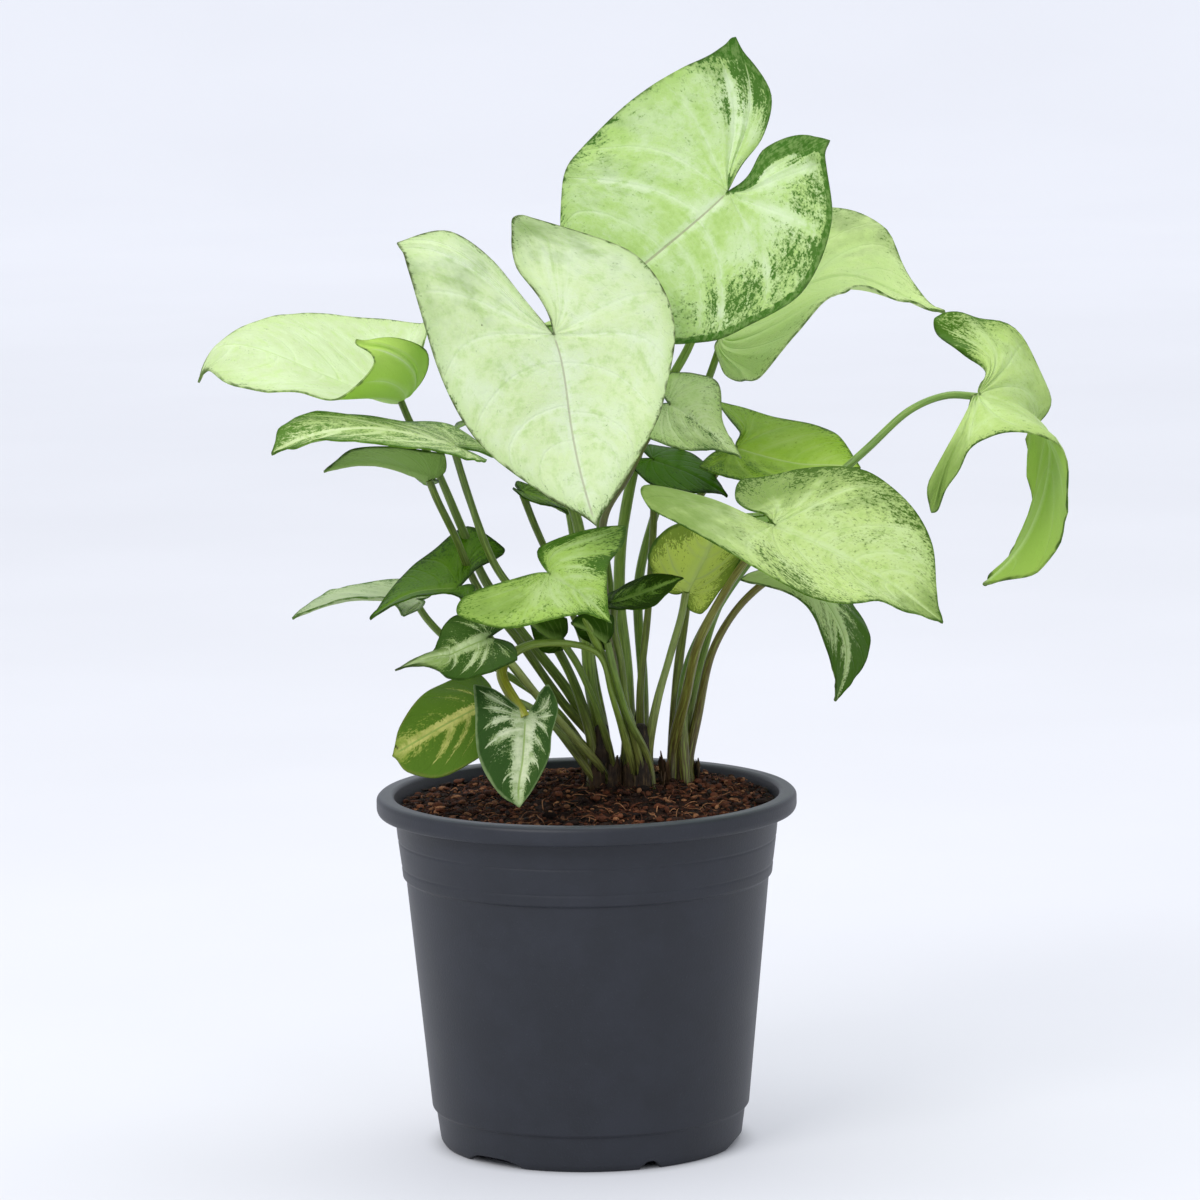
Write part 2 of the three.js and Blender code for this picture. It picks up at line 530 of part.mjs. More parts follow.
function buildPot() {
  const profile = [...FLOOR_UNDER, ...POT_OUTSIDE, ...POT_INSIDE, ...FLOOR_INSIDE, [0, FLOOR]];
  let pot = turned(profile, POT_SIDES);
  for (let i = 0; i < 3; i += 1) {
    pot = pot.subtract(footNotch(NOTCH_FIRST + 120 * i, NOTCH_HALF_WIDE));
    pot = pot.subtract(footNotch(NOTCH_FIRST + 64 + 120 * i, NOTCH_HALF_NARROW));
  }
  return pot;
}

// The soil fills the pot, and each stem stands in a plain hole in it.
function buildSoil() {
  const rings = 5;
  const sides = POT_SIDES;
  const inset = 1 / Math.cos(Math.PI / sides);
  const wall = [...POT_INSIDE, ...FLOOR_INSIDE].filter(([, z]) => z < SOIL_EDGE - 2);
  const topRadius = 58.2;
  const corners = [new THREE.Vector3(0, 0, soilHeight(0, 0))];
  const faces = [];
  const ring = (radius, height) => {
    for (let k = 0; k < sides; k += 1) {
      const angle = (2 * Math.PI * k) / sides;
      const x = radius * Math.cos(angle);
      const y = radius * Math.sin(angle);
      corners.push(new THREE.Vector3(x, y, height(x, y)));
    }
  };
  for (let i = 1; i <= rings; i += 1) ring(((topRadius - GAP) * i) / rings, soilHeight);
  for (const [r, z] of wall) ring(r - GAP * inset, () => z + GAP * 1.2);
  corners.push(new THREE.Vector3(0, 0, FLOOR + GAP * 1.2));
  const count = rings + wall.length;
  for (let k = 0; k < sides; k += 1) {
    const next = (k + 1) % sides;
    addToShape(faces, 0, 1 + k, 1 + next);
    for (let i = 0; i < count - 1; i += 1) {
      const [a, b] = [1 + i * sides + k, 1 + i * sides + next];
      addToShape(faces, a, a + sides, b + sides, a, b + sides, b);
    }
    const low = 1 + (count - 1) * sides;
    addToShape(faces, low + k, corners.length - 1, low + next);
  }
  return solid(corners, faces);
}

// A short stem with rings where old leaves left it.
function stem([x, y], extra) {
  const top = STEM_TOP + extra;
  const bottom = STEM_ROOT - extra;
  const r = STEM_RADIUS + extra;
  const profile = [
    [0, bottom], [r - 1.4, bottom], [r - 0.4, bottom + 6], [r, SOIL_EDGE], [r - 0.2, 118], [r - 0.6, top - 5],
    [r - 1.8, top - 1.2], [0, top],
  ];
  return turned(profile, 12).translate([x, y, 0]);
}

const meshOf = (name, manifold, surface) => {
  const { numProp, vertProperties, triVerts } = manifold.simplify(SLIVER).getMesh();
  const places = new Float32Array((vertProperties.length / numProp) * 3);
  for (let i = 0; i < places.length / 3; i += 1) {
    for (let axis = 0; axis < 3; axis += 1) places[3 * i + axis] = vertProperties[i * numProp + axis];
  }
  const geometry = new THREE.BufferGeometry();
  geometry.setAttribute("position", new THREE.BufferAttribute(places, 3));
  geometry.setIndex(Array.from(triVerts));
  geometry.computeVertexNormals();
  const mesh = new THREE.Mesh(geometry, surface);
  mesh.name = name;
  return mesh;
};

// The largest body of a cut, without the slivers that a clearance cut can leave.
function largest(manifold) {
  const bodies = manifold.decompose();
  return bodies.reduce((best, body) => (body.volume() > best.volume() ? body : best), bodies[0]);
}

const group = new THREE.Group();
group.add(meshOf("pot", buildPot(), material(0x3e424b, 0.45)));

let soil = buildSoil();
for (const place of Object.values(STEMS)) soil = soil.subtract(stem(place, GAP));
group.add(meshOf("soil", soil, material(0x3b2519, 0.95)));

for (const [name, place] of Object.entries(STEMS)) {
  group.add(meshOf(name, stem(place, 0), material(0x6f7a45, 0.6)));
}

// Each leaf is cut back by a small clearance where it meets a stem, the soil or an earlier leaf's petiole.
const earlier = Object.values(STEMS).map((place) => stem(place, GAP));
earlier.push(soil.translate([0, 0, GAP]));
for (const [name, leaf] of Object.entries(LEAVES)) {
  const map = leafMap(leaf);
  const normal = leafNormal(map);
  const large = vector(leaf.attach).distanceTo(vector(leaf.apex)) > 36;
  let whole = blade(map, large ? 14 : 10, large ? 3 : 2);
  whole = whole.add(petiole(leaf, normal, 0, 6));
  for (const other of earlier) whole = whole.subtract(other);
  group.add(meshOf(name, largest(whole), material(leaf.color, 0.5)));
  earlier.push(petiole(leaf, normal, GAP, 6));
}

export default group;
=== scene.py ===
import math

import bmesh
import bpy
import numpy as np
from mathutils import Matrix, Vector


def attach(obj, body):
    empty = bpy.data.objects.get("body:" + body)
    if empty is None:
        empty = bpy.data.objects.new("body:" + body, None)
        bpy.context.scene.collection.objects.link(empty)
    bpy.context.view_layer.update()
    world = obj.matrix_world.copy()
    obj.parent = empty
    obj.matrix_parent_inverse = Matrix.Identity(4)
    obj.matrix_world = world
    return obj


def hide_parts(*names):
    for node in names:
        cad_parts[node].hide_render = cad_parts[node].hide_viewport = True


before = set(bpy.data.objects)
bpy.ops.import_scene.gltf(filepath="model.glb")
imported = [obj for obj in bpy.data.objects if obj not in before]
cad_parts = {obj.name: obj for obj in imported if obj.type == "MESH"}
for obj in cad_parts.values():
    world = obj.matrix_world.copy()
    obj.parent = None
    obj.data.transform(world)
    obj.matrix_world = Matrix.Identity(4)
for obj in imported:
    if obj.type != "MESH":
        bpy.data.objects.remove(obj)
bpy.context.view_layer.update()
scene = bpy.context.scene
MM = 0.001

# Camera, floor and light
CAMERA_PLACE = (0.005, -1.9, 0.44)
CAMERA_PITCH = math.radians(8.1)
CAMERA_ROLL = math.radians(0.8)
SENSOR = 36.0
FOCAL_PIXELS = 6229.0
IMAGE_PIXELS = 1200.0


def add_camera():
    pitch, roll = CAMERA_PITCH, CAMERA_ROLL
    level = Vector((1, 0, 0))
    up = Vector((0, math.sin(pitch), math.cos(pitch)))
    back = Vector((0, -math.cos(pitch), math.sin(pitch)))
    right = level * math.cos(roll) - up * math.sin(roll)
    top = level * math.sin(roll) + up * math.cos(roll)
    data = bpy.data.cameras.new("camera")
    data.sensor_width = SENSOR
    data.lens = FOCAL_PIXELS / IMAGE_PIXELS * SENSOR
    data.clip_start = 0.05
    data.clip_end = 20
    camera = bpy.data.objects.new("camera", data)
    turn = Matrix((right, top, back)).transposed().to_4x4()
    camera.matrix_world = Matrix.Translation(CAMERA_PLACE) @ turn
    scene.collection.objects.link(camera)
    scene.camera = camera


def add_light(name, place, target, size, power, colour):
    data = bpy.data.lights.new(name, "AREA")
    data.shape = "RECTANGLE"
    data.size, data.size_y = size
    data.energy = power
    data.color = colour
    light = bpy.data.objects.new(name, data)
    light.location = place
    light.rotation_euler = (Vector(target) - Vector(place)).to_track_quat("-Z", "Y").to_euler()
    scene.collection.objects.link(light)


def srgb(red, green, blue, alpha=1.0):
    """A screen colour of 0 to 255 as a linear colour of 0 to 1."""
    def linear(value):
        value /= 255
        return value / 12.92 if value <= 0.04045 else ((value + 0.055) / 1.055) ** 2.4
    return (linear(red), linear(green), linear(blue), alpha)


# Node trees
class Value:
    """An output of a node, which adds, subtracts, multiplies and divides as a number does."""

    def __init__(self, shader, socket):
        self.shader = shader
        self.socket = socket

    def __add__(self, other):
        return self.shader.math("ADD", self, other)

    def __sub__(self, other):
        return self.shader.math("SUBTRACT", self, other)

    def __rsub__(self, other):
        return self.shader.math("SUBTRACT", other, self)

    def __mul__(self, other):
        return self.shader.math("MULTIPLY", self, other)

    def __truediv__(self, other):
        return self.shader.math("DIVIDE", self, other)


class Shader:
    """A material's node tree, built from short calls. Outputs and plain numbers mix freely as inputs."""

    def __init__(self, name):
        self.material = bpy.data.materials.new(name)
        self.material.use_nodes = True
        self.tree = self.material.node_tree
        self.tree.nodes.clear()

    def node(self, kind, output, inputs, **settings):
        """A new node's output. The inputs are given by name or number, and None leaves one as it is."""
        made = self.tree.nodes.new(kind)
        for key, value in settings.items():
            setattr(made, key, value)
        for key, value in inputs.items():
            if isinstance(value, Value):
                self.tree.links.new(value.socket, made.inputs[key])
            elif value is not None:
                made.inputs[key].default_value = value
        return Value(self, made.outputs[output]) if output is not None else None

    def math(self, operation, a, b, clamp=False):
        return self.node("ShaderNodeMath", 0, {0: a, 1: b}, operation=operation, use_clamp=clamp)

    def step(self, value, low, high, start=0.0, end=1.0):
        """value carried smoothly from low..high to start..end."""
        inputs = dict(enumerate((value, low, high, start, end)))
        return self.node("ShaderNodeMapRange", 0, inputs, interpolation_type="SMOOTHSTEP")

    def mix(self, share, a, b, blend="MIX"):
        return self.node("ShaderNodeMix", 2, {0: share, 6: a, 7: b}, data_type="RGBA", blend_type=blend)

    def attribute(self, name, output="Fac"):
        return self.node("ShaderNodeAttribute", output, {}, attribute_name=name)

    def noise(self, vector, scale, detail=2.0, roughness=0.5):
        inputs = {"Vector": vector, "Scale": scale, "Detail": detail, "Roughness": roughness}
        return self.node("ShaderNodeTexNoise", 0, inputs)

    def cell_edges(self, vector, scale):
        inputs = {"Vector": vector, "Scale": scale}
        return self.node("ShaderNodeTexVoronoi", "Distance", inputs, feature="DISTANCE_TO_EDGE")

    def stretch(self, vector, scale):
        return self.node("ShaderNodeVectorMath", 0, {0: vector, 1: scale}, operation="MULTIPLY")

    def size(self, vector, parts):
        """The length of a vector, with its parts first multiplied by the given ones."""
        inputs = {0: self.stretch(vector, parts)}
        return self.node("ShaderNodeVectorMath", "Value", inputs, operation="LENGTH")

    def place(self):
        return self.node("ShaderNodeTexCoord", "Object", {})

    def bump(self, height, distance, strength):
        return self.node("ShaderNodeBump", 0, {"Height": height, "Distance": distance, "Strength": strength})

    def surface(self, colour, roughness, normal, specular, through=None, share=0.0, tint=None, glow=None):
        """A principled surface, with a share of light coming through it in the colour through."""
        shine, strength = glow or (None, None)
        result = self.node("ShaderNodeBsdfPrincipled", 0, {
            "Base Color": colour, "Roughness": roughness, "Specular IOR Level": specular,
            "Specular Tint": tint, "Normal": normal, "Emission Color": shine, "Emission Strength": strength,
        })
        if through is not None:
            lit = self.node("ShaderNodeBsdfTranslucent", 0, {"Color": through, "Normal": normal})
            result = self.node("ShaderNodeMixShader", 0, {0: share, 1: result, 2: lit})
        self.node("ShaderNodeOutputMaterial", None, {"Surface": result})
        return self.material


# Meshes
def mesh_object(name, corners, faces, material, attributes=None, sharp=50):
    """A mesh from corners in millimetres. attributes: name to one number, vector or colour a corner."""
    mesh = bpy.data.meshes.new(name)
    corners = np.asarray(corners, float)
    mesh.from_pydata((corners * MM).tolist(), [], [list(map(int, face)) for face in faces])
    mesh.update()
    for key, values in (attributes or {}).items():
        values = np.asarray(values, np.float32)
        kind, field = "FLOAT", "value"
        if values.ndim == 2:
            kind, field = ("FLOAT_VECTOR", "vector") if values.shape[1] == 3 else ("FLOAT_COLOR", "color")
        layer = mesh.attributes.new(key, kind, "POINT")
        layer.data.foreach_set(field, values.ravel())
    mesh.polygons.foreach_set("use_smooth", [True] * len(mesh.polygons))
    mesh.set_sharp_from_angle(angle=math.radians(sharp))
    mesh.materials.append(material)
    made = bpy.data.objects.new(name, mesh)
    scene.collection.objects.link(made)
    return made


def finish_piece(piece, slot, *nodes):
    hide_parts(*nodes)
    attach(piece, "root")


def circle(sides):
    """The angles of evenly spaced corners round a circle."""
    return np.arange(sides) * 2 * math.pi / sides


def ring_corners(radius, height, sides):
    """The corners of a level ring round the vertical axis. height is one number, or one for each corner."""
    angle = circle(sides)
    return np.stack([radius * np.cos(angle), radius * np.sin(angle), np.broadcast_to(height, sides)], 1)


def ring_faces(rings, sides):
    """The faces between rings of corners that are listed one after another."""
    faces = []
    for i in range(rings - 1):
        for k in range(sides):
            a, b = i * sides + k, i * sides + (k + 1) % sides
            faces.append((a, b, b + sides, a + sides))
    return faces


def disc_faces(rings, sides):
    """The faces round a middle corner, which is listed first, and between the rings of corners after it."""
    faces = [(0, 1 + k, 1 + (k + 1) % sides) for k in range(sides)]
    for a, b, c, d in ring_faces(rings, sides):
        faces.append((a + 1, d + 1, c + 1, b + 1))
    return faces


def waves(count, seed, low, high, axes=2):
    """A smooth, repeatable height over a plane or space, about -1 to 1, with low to high waves a unit."""
    rng = np.random.default_rng(seed)
    turns = rng.normal(size=(count, axes))
    turns /= np.linalg.norm(turns, axis=1)[:, None]
    turns *= rng.uniform(low, high, count)[:, None] * 2 * math.pi
    shift = rng.uniform(0, 2 * math.pi, count)
    weight = rng.uniform(0.5, 1, count)
    weight /= weight.sum()
    return lambda points: np.sin(np.asarray(points) @ turns.T + shift) @ weight


def smooth(value, low, high):
    t = np.clip((np.asarray(value, float) - low) / (high - low), 0, 1)
    return t * t * (3 - 2 * t)


def curve(start, end, out, back, t):
    """The place at t, 0 to 1, on the cubic curve from start to end, with its slopes there, out and back."""
    cubic = 2 * start - 2 * end + out + back
    square = 3 * end - 3 * start - 2 * out - back
    return cubic * t ** 3 + square * t ** 2 + out * t + start


def nearest(points, others):
    """How far each of the points lies from the nearest of the others."""
    return np.sqrt(((points[:, None] - others[None]) ** 2).sum(-1)).min(1)


# Leaves
# A leaf is drawn flat first. Its petiole joins at 0,0, its tip is at 1,0, and side A lies at +y.
# This is the edge of side A from the tip round the back lobe to the sinus.
HALF_EDGE = np.array([
    (1, 0), (0.93, 0.075), (0.82, 0.21), (0.62, 0.41), (0.43, 0.53), (0.2, 0.6), (0, 0.62), (-0.2, 0.615),
    (-0.38, 0.6), (-0.52, 0.585), (-0.56, 0.56), (-0.55, 0.45), (-0.49, 0.29), (-0.38, 0.18), (-0.2, 0.08),
    (-0.07, 0.024), (0, 0),
])
SEGMENTS = len(HALF_EDGE) - 1
# The places on the flat leaf whose position in space is given for each leaf below.
SIDE_MARKS = {
    "tip": (0.82, 0.21), "front": (0.62, 0.41), "side": (0.36, 0.56), "wide": (0.1, 0.62),
    "back": (-0.25, 0.615), "lobe": (-0.56, 0.56), "inner": (-0.5, 0.32), "sinus": (-0.38, 0.18),
}
MARKS = {
    "attach": (0, 0), "mid": (0.5, 0), "neck": (0.9, 0), "apex": (1, 0),
    **{mark + "A": place for mark, place in SIDE_MARKS.items()},
    **{mark + "B": (x, -y) for mark, (x, y) in SIDE_MARKS.items()},
}
# The short upright stems that the petioles grow from, by their place on the soil.
STEMS = {
    "stem_left": (5, -3), "stem_middle": (17, -5), "stem_right": (29, 6), "stem_back": (16, 12),
    "stem_back_left": (4, 12),
}


def shape(stem, start, radius, tone, petiole, **marks):
    """One leaf. Its petiole leaves the stem at the height start and runs through the points of petiole."""
    return {"stem": stem, "from": start, "radius": radius, "tone": tone, "petiole": petiole, **marks}


# Each leaf: the stem it grows from and how high, the run of its petiole, and where its marks lie.
LEAVES = {
    "leaf_top": shape(
        "stem_back", 128, 2.3, "pale",
        [(13, 10, 146), (11, 10, 171), (13, 12, 194), (21, 14, 224), (34, 16, 247), (43, 17, 272)],
        attach=(46, 12, 294), mid=(21, 0, 274), apex=(-5, -8, 253), frontA=(37, -12, 250),
        sideA=(52, -10, 255), wideA=(68, -6, 264), backA=(78, 6, 287), lobeA=(75, 14, 309),
        innerA=(66, 18, 310), sinusA=(57, 20, 306), frontB=(-5, 6, 295), sideB=(0, 12, 307),
        wideB=(16, 20, 322), backB=(34, 30, 332), lobeB=(49, 36, 338), innerB=(60, 34, 322),
        sinusB=(57, 27, 309),
    ),
    "leaf_front": shape(
        "stem_left", 129, 2.5, "pale",
        [(2, -3, 142), (0, -4, 173), (-1, -7, 192), (-5, -11, 208), (-8, -18, 233)],
        attach=(-8, -30, 255), mid=(-3, -42, 229), apex=(4, -62, 201), frontA=(21, -52, 227),
        sideA=(26, -42, 240), wideA=(29, -32, 257), backA=(16, -22, 279), lobeA=(-18, -4, 289),
        innerA=(-20, -6, 283), sinusA=(-19, -13, 274), frontB=(-27, -52, 221), wideB=(-45, -36, 252),
        backB=(-52, -28, 276), lobeB=(-54, -22, 283), innerB=(-39, -16, 285), sinusB=(-26, -18, 276),
    ),
    "leaf_right_back": shape(
        "stem_back", 123, 2, "fresh",
        [(18, 18, 141), (17, 24, 170), (22, 26, 191), (32, 28, 216), (40, 30, 235)],
        attach=(44, 34, 247), mid=(82, 42, 265), apex=(114, 34, 254), tipA=(105, 44, 261),
        frontA=(97, 62, 277), wideA=(64, 70, 285), lobeA=(38, 66, 275), sinusA=(40, 46, 258),
        tipB=(101, 32, 258), frontB=(90, 28, 262), wideB=(74, 10, 259), backB=(63, 6, 246),
        lobeB=(51, 12, 235), sinusB=(43, 26, 239),
    ),
    "leaf_droop": shape(
        "stem_right", 124, 2, "fresh",
        [
            (30, 4, 138), (34, 0, 154), (51, -6, 182), (67, -8, 198), (87, -8, 216), (101, -6, 228),
            (112, -5, 232),
        ],
        attach=(122, -4, 232), mid=(145, 4, 214), apex=(123, -6, 173), tipA=(131, 4, 180),
        frontA=(139, 12, 197), sideA=(138, 18, 215), wideA=(146, 24, 227), backA=(131, 26, 251),
        lobeA=(110, 24, 253), innerA=(113, 18, 246), sinusA=(123, 12, 240), tipB=(139, -12, 178),
        frontB=(147, -18, 194), sideB=(145, -22, 218), wideB=(128, -30, 223), backB=(115, -32, 215),
        lobeB=(106, -30, 199), innerB=(106, -28, 208), sinusB=(115, -18, 224),
    ),
    "leaf_left": shape(
        "stem_back_left", 128, 2, "pale",
        [(-4, 8, 138), (-20, 0, 161), (-30, -2, 176), (-37, -5, 193), (-45, -8, 213), (-52, -9, 226)],
        attach=(-55, -10, 234), mid=(-84, -8, 244), neck=(-112, -7, 249), apex=(-117, -10, 240),
        tipA=(-109, -16, 241), frontA=(-96, -30, 239), sideA=(-83, -36, 239), wideA=(-73, -38, 237),
        backA=(-62, -40, 248), lobeA=(-66, -40, 254), innerA=(-56, -34, 255), sinusA=(-47, -24, 250),
        tipB=(-107, 4, 253), frontB=(-97, 12, 257), wideB=(-76, 22, 257), backB=(-61, 22, 255),
        lobeB=(-48, 18, 254), sinusB=(-48, 0, 248),
    ),
    "leaf_left_flat": shape(
        "stem_left", 126, 1.8, "mid",
        [(-1, -6, 138), (-8, -14, 156), (-19, -24, 173), (-27, -32, 186), (-34, -40, 207)],
        attach=(-38, -44, 223), mid=(-65, -46, 229), apex=(-93, -46, 222), frontA=(-77, -64, 228),
        wideA=(-51, -72, 226), lobeA=(-31, -64, 221), tipB=(-91, -38, 228), frontB=(-83, -30, 232),
        wideB=(-55, -20, 228), backB=(-39, -18, 226), lobeB=(-27, -24, 218),
    ),
    "leaf_left_under": shape(
        "stem_back_left", 124, 1.7, "dark",
        [(-7, 5, 137), (-20, -6, 158), (-32, -12, 175), (-39, -20, 193), (-44, -27, 205)],
        attach=(-46, -30, 212), mid=(-62, -31, 217), apex=(-78, -32, 215), frontA=(-69, -42, 222),
        wideA=(-53, -46, 223), lobeA=(-41, -40, 220), frontB=(-67, -20, 216), wideB=(-55, -12, 213),
        lobeB=(-47, -16, 208),
    ),
    "leaf_left_dark": shape(
        "stem_left", 122, 1.7, "dark", [(-8, -8, 133), (-22, -18, 152), (-33, -24, 168)],
        attach=(-38, -26, 178), mid=(-52, -30, 177), apex=(-65, -34, 170), frontA=(-55, -42, 176),
        wideA=(-43, -46, 179), lobeA=(-35, -44, 177), frontB=(-55, -14, 180), wideB=(-45, -4, 187),
        backB=(-35, 0, 193), lobeB=(-24, -4, 186), sinusB=(-31, -16, 183),
    ),
    "leaf_left_low": shape(
        "stem_back_left", 119, 1.5, "fresh",
        [(-8, 12, 132), (-26, 12, 146), (-40, 12, 154), (-48, 11, 162)],
        attach=(-52, 10, 169), mid=(-72, 4, 171), apex=(-90, -2, 166), frontA=(-75, -10, 172),
        wideA=(-61, -14, 173), lobeA=(-55, -10, 167), frontB=(-81, 18, 170), wideB=(-64, 26, 173),
        lobeB=(-47, 24, 173),
    ),
    "leaf_centre": shape(
        "stem_middle", 128, 2, "fresh", [(11, -12, 141), (5, -24, 157), (-2, -36, 173)],
        attach=(-10, -44, 184), mid=(0, -56, 179), apex=(8, -70, 173), frontA=(7, -62, 182),
        wideA=(8, -50, 188), backA=(12, -42, 192), lobeA=(12, -34, 197), innerA=(-2, -34, 195),
        sinusA=(-13, -36, 191), frontB=(1, -66, 175), wideB=(-10, -64, 173), backB=(-24, -60, 170),
        lobeB=(-38, -54, 174), innerB=(-34, -50, 179), sinusB=(-21, -47, 183),
    ),
    "leaf_right": shape(
        "stem_right", 127, 2, "fresh", [(31, -4, 140), (35, -14, 158), (42, -22, 173), (49, -31, 185)],
        attach=(58, -38, 197), mid=(84, -44, 185), apex=(108, -52, 169), frontA=(106, -30, 189),
        wideA=(87, -14, 210), backA=(65, -14, 211), lobeA=(48, -18, 208), sinusA=(51, -32, 201),
        frontB=(88, -62, 177), wideB=(65, -64, 180), backB=(39, -60, 195), lobeB=(20, -54, 205),
        innerB=(20, -50, 211), sinusB=(39, -42, 206),
    ),
    "leaf_right_mid": shape(
        "stem_right", 129, 1.8, "fresh", [(29, 12, 146), (32, 18, 167), (33, 18, 192), (41, 15, 206)],
        attach=(48, 12, 215), mid=(67, 10, 210), apex=(86, 8, 209), frontA=(79, 28, 217),
        wideA=(61, 38, 221), lobeA=(43, 40, 226), sinusA=(49, 20, 219), frontB=(67, -4, 207),
        wideB=(50, -9, 207), lobeB=(36, -4, 211),
    ),
    "leaf_mid_pale": shape(
        "stem_back", 127, 1.7, "pale",
        [(9, 6, 148), (6, 3, 181), (7, 1, 196), (14, -1, 208), (20, -6, 220)],
        attach=(27, -8, 231), mid=(37, -13, 225), apex=(49, -14, 215), frontA=(43, -4, 226),
        wideA=(42, 8, 236), lobeA=(28, 14, 238), frontB=(40, -20, 218), wideB=(29, -24, 219),
        lobeB=(15, -14, 224),
    ),
    "leaf_mid_dark": shape(
        "stem_back", 119, 1.5, "dark", [(17, 5, 138), (20, 7, 167), (22, 9, 196)],
        attach=(22, 8, 212), mid=(33, 6, 208), apex=(45, 4, 201), frontA=(41, 13, 206), wideA=(34, 22, 212),
        lobeA=(21, 22, 215), frontB=(36, -4, 203), wideB=(23, -6, 205), lobeB=(15, 0, 211),
    ),
    "leaf_under": shape(
        "stem_middle", 126, 1.6, "fresh", [(22, -6, 138), (26, -7, 152), (30, -9, 166)],
        attach=(31, -12, 174), mid=(37, -16, 186), apex=(43, -18, 199), frontA=(49, -8, 190),
        wideA=(47, -4, 180), lobeA=(36, -8, 166), frontB=(28, -26, 196), wideB=(20, -26, 188),
        lobeB=(21, -22, 181),
    ),
    "leaf_curl": shape(
        "stem_middle", 122, 1.4, "dark", [(13, -14, 136), (11, -19, 154), (9, -21, 164)],
        attach=(9, -22, 172), mid=(19, -27, 176), apex=(30, -33, 181), frontA=(21, -26, 181),
        wideA=(12, -17, 176), lobeA=(7, -14, 173), frontB=(22, -34, 173), wideB=(14, -31, 171),
        lobeB=(7, -27, 171),
    ),
    "leaf_hang_right": shape(
        "stem_right", 120, 1.7, "dark", [(35, 7, 133), (40, 2, 154), (50, -4, 170), (61, -8, 178)],
        attach=(69, -12, 177), mid=(80, -16, 158), apex=(77, -14, 139), frontA=(87, -8, 152),
        sideA=(87, -4, 161), wideA=(83, -2, 167), lobeA=(82, 4, 179), frontB=(76, -20, 149),
        wideB=(68, -24, 170), backB=(57, -22, 176), lobeB=(48, -18, 178),
    ),
    "leaf_variegated_top": shape(
        "stem_left", 119, 1.4, "dark", [(-4, -16, 130), (-15, -32, 146), (-23, -42, 158)],
        attach=(-29, -46, 165), mid=(-40, -50, 161), neck=(-48, -52, 160), apex=(-57, -52, 157),
        tipA=(-44, -56, 157), frontA=(-41, -59, 155), wideA=(-31, -62, 156), lobeA=(-20, -56, 160),
        tipB=(-46, -46, 161), frontB=(-44, -43, 164), wideB=(-39, -40, 171), lobeB=(-24, -34, 170),
    ),
    "leaf_variegated_hang": shape(
        "stem_middle", 118, 2, "dark",
        [(8, -22, 144), (4, -27, 157), (-7, -31, 161), (-19, -34, 160), (-25, -39, 154)],
        attach=(-18, -48, 141), mid=(-19, -50, 128), apex=(-20, -56, 115), tipA=(-16, -54, 120),
        frontA=(-12, -52, 127), wideA=(-10, -48, 136), backA=(-8, -46, 144), lobeA=(-11, -42, 150),
        sinusA=(-15, -44, 145), tipB=(-26, -56, 119), frontB=(-31, -54, 127), wideB=(-33, -52, 141),
        lobeB=(-33, -46, 151), sinusB=(-24, -46, 147),
    ),
    "leaf_variegated_low": shape(
        "stem_left", 115, 1.5, "dark", [(-5, -9, 126), (-14, -15, 137), (-24, -19, 142)],
        attach=(-31, -22, 141), mid=(-44, -26, 135), apex=(-59, -30, 127), tipA=(-55, -34, 123),
        frontA=(-48, -36, 121), wideA=(-36, -38, 125), lobeA=(-24, -30, 132), tipB=(-57, -26, 134),
        frontB=(-53, -20, 140), wideB=(-44, -12, 146), lobeB=(-32, -8, 148),
    ),
    "leaf_small_dark": shape(
        "stem_back_left", 129, 1.4, "dark", [(1, 13, 149), (-8, 5, 176), (-15, -2, 194)],
        attach=(-18, -6, 204), mid=(-11, -8, 202), apex=(-4, -10, 198), frontA=(-7, -2, 200),
        wideA=(-13, 4, 204), lobeA=(-20, 6, 206), frontB=(-9, -16, 201), wideB=(-16, -18, 203),
        lobeB=(-21, -12, 206),
    ),
    "leaf_low_under_left": shape(
        "stem_left", 125, 1.3, "dark", [(4, -12, 136), (-2, -18, 152)],
        attach=(-7, -22, 161), mid=(-12, -26, 164), apex=(-17, -30, 169), frontA=(-14, -34, 171),
        wideA=(-10, -34, 171), lobeA=(-5, -30, 168), frontB=(-15, -20, 160), wideB=(-12, -16, 156),
        lobeB=(-7, -14, 156),
    ),
    "leaf_low_under_right": shape(
        "stem_middle", 124, 1.3, "dark", [(13, -17, 136), (9, -24, 151)],
        attach=(7, -26, 161), mid=(2, -30, 165), apex=(-4, -34, 168), frontA=(0, -36, 171),
        wideA=(5, -36, 171), lobeA=(9, -32, 169), frontB=(-1, -26, 162), wideB=(4, -22, 159),
        lobeB=(8, -18, 156),
    ),
    "leaf_back_high": shape(
        "stem_back", 129, 2, "fresh", [(12, 19, 142), (8, 23, 170), (4, 25, 205), (3, 32, 236)],
        attach=(4, 44, 252), mid=(2, 72, 252), apex=(-4, 104, 238), frontB=(22, 80, 243),
        wideB=(37, 50, 249), lobeB=(32, 26, 254), frontA=(-20, 76, 241), wideA=(-32, 44, 246),
        lobeA=(-26, 22, 251),
    ),
    "leaf_back_left": shape(
        "stem_back_left", 127, 1.8, "fresh", [(3, 17, 142), (-1, 20, 170), (-5, 22, 198), (-12, 28, 218)],
        attach=(-14, 34, 226), mid=(-22, 54, 226), apex=(-34, 76, 216), frontB=(-10, 66, 220),
        wideB=(8, 44, 224), lobeB=(8, 26, 226), frontA=(-39, 52, 218), wideA=(-38, 28, 222),
        lobeA=(-27, 14, 224),
    ),
    "leaf_back_right": shape(
        "stem_right", 126, 1.8, "fresh", [(34, 12, 140), (40, 18, 160), (49, 28, 177), (57, 37, 186)],
        attach=(62, 42, 190), mid=(74, 66, 188), apex=(82, 94, 176), frontB=(96, 66, 180),
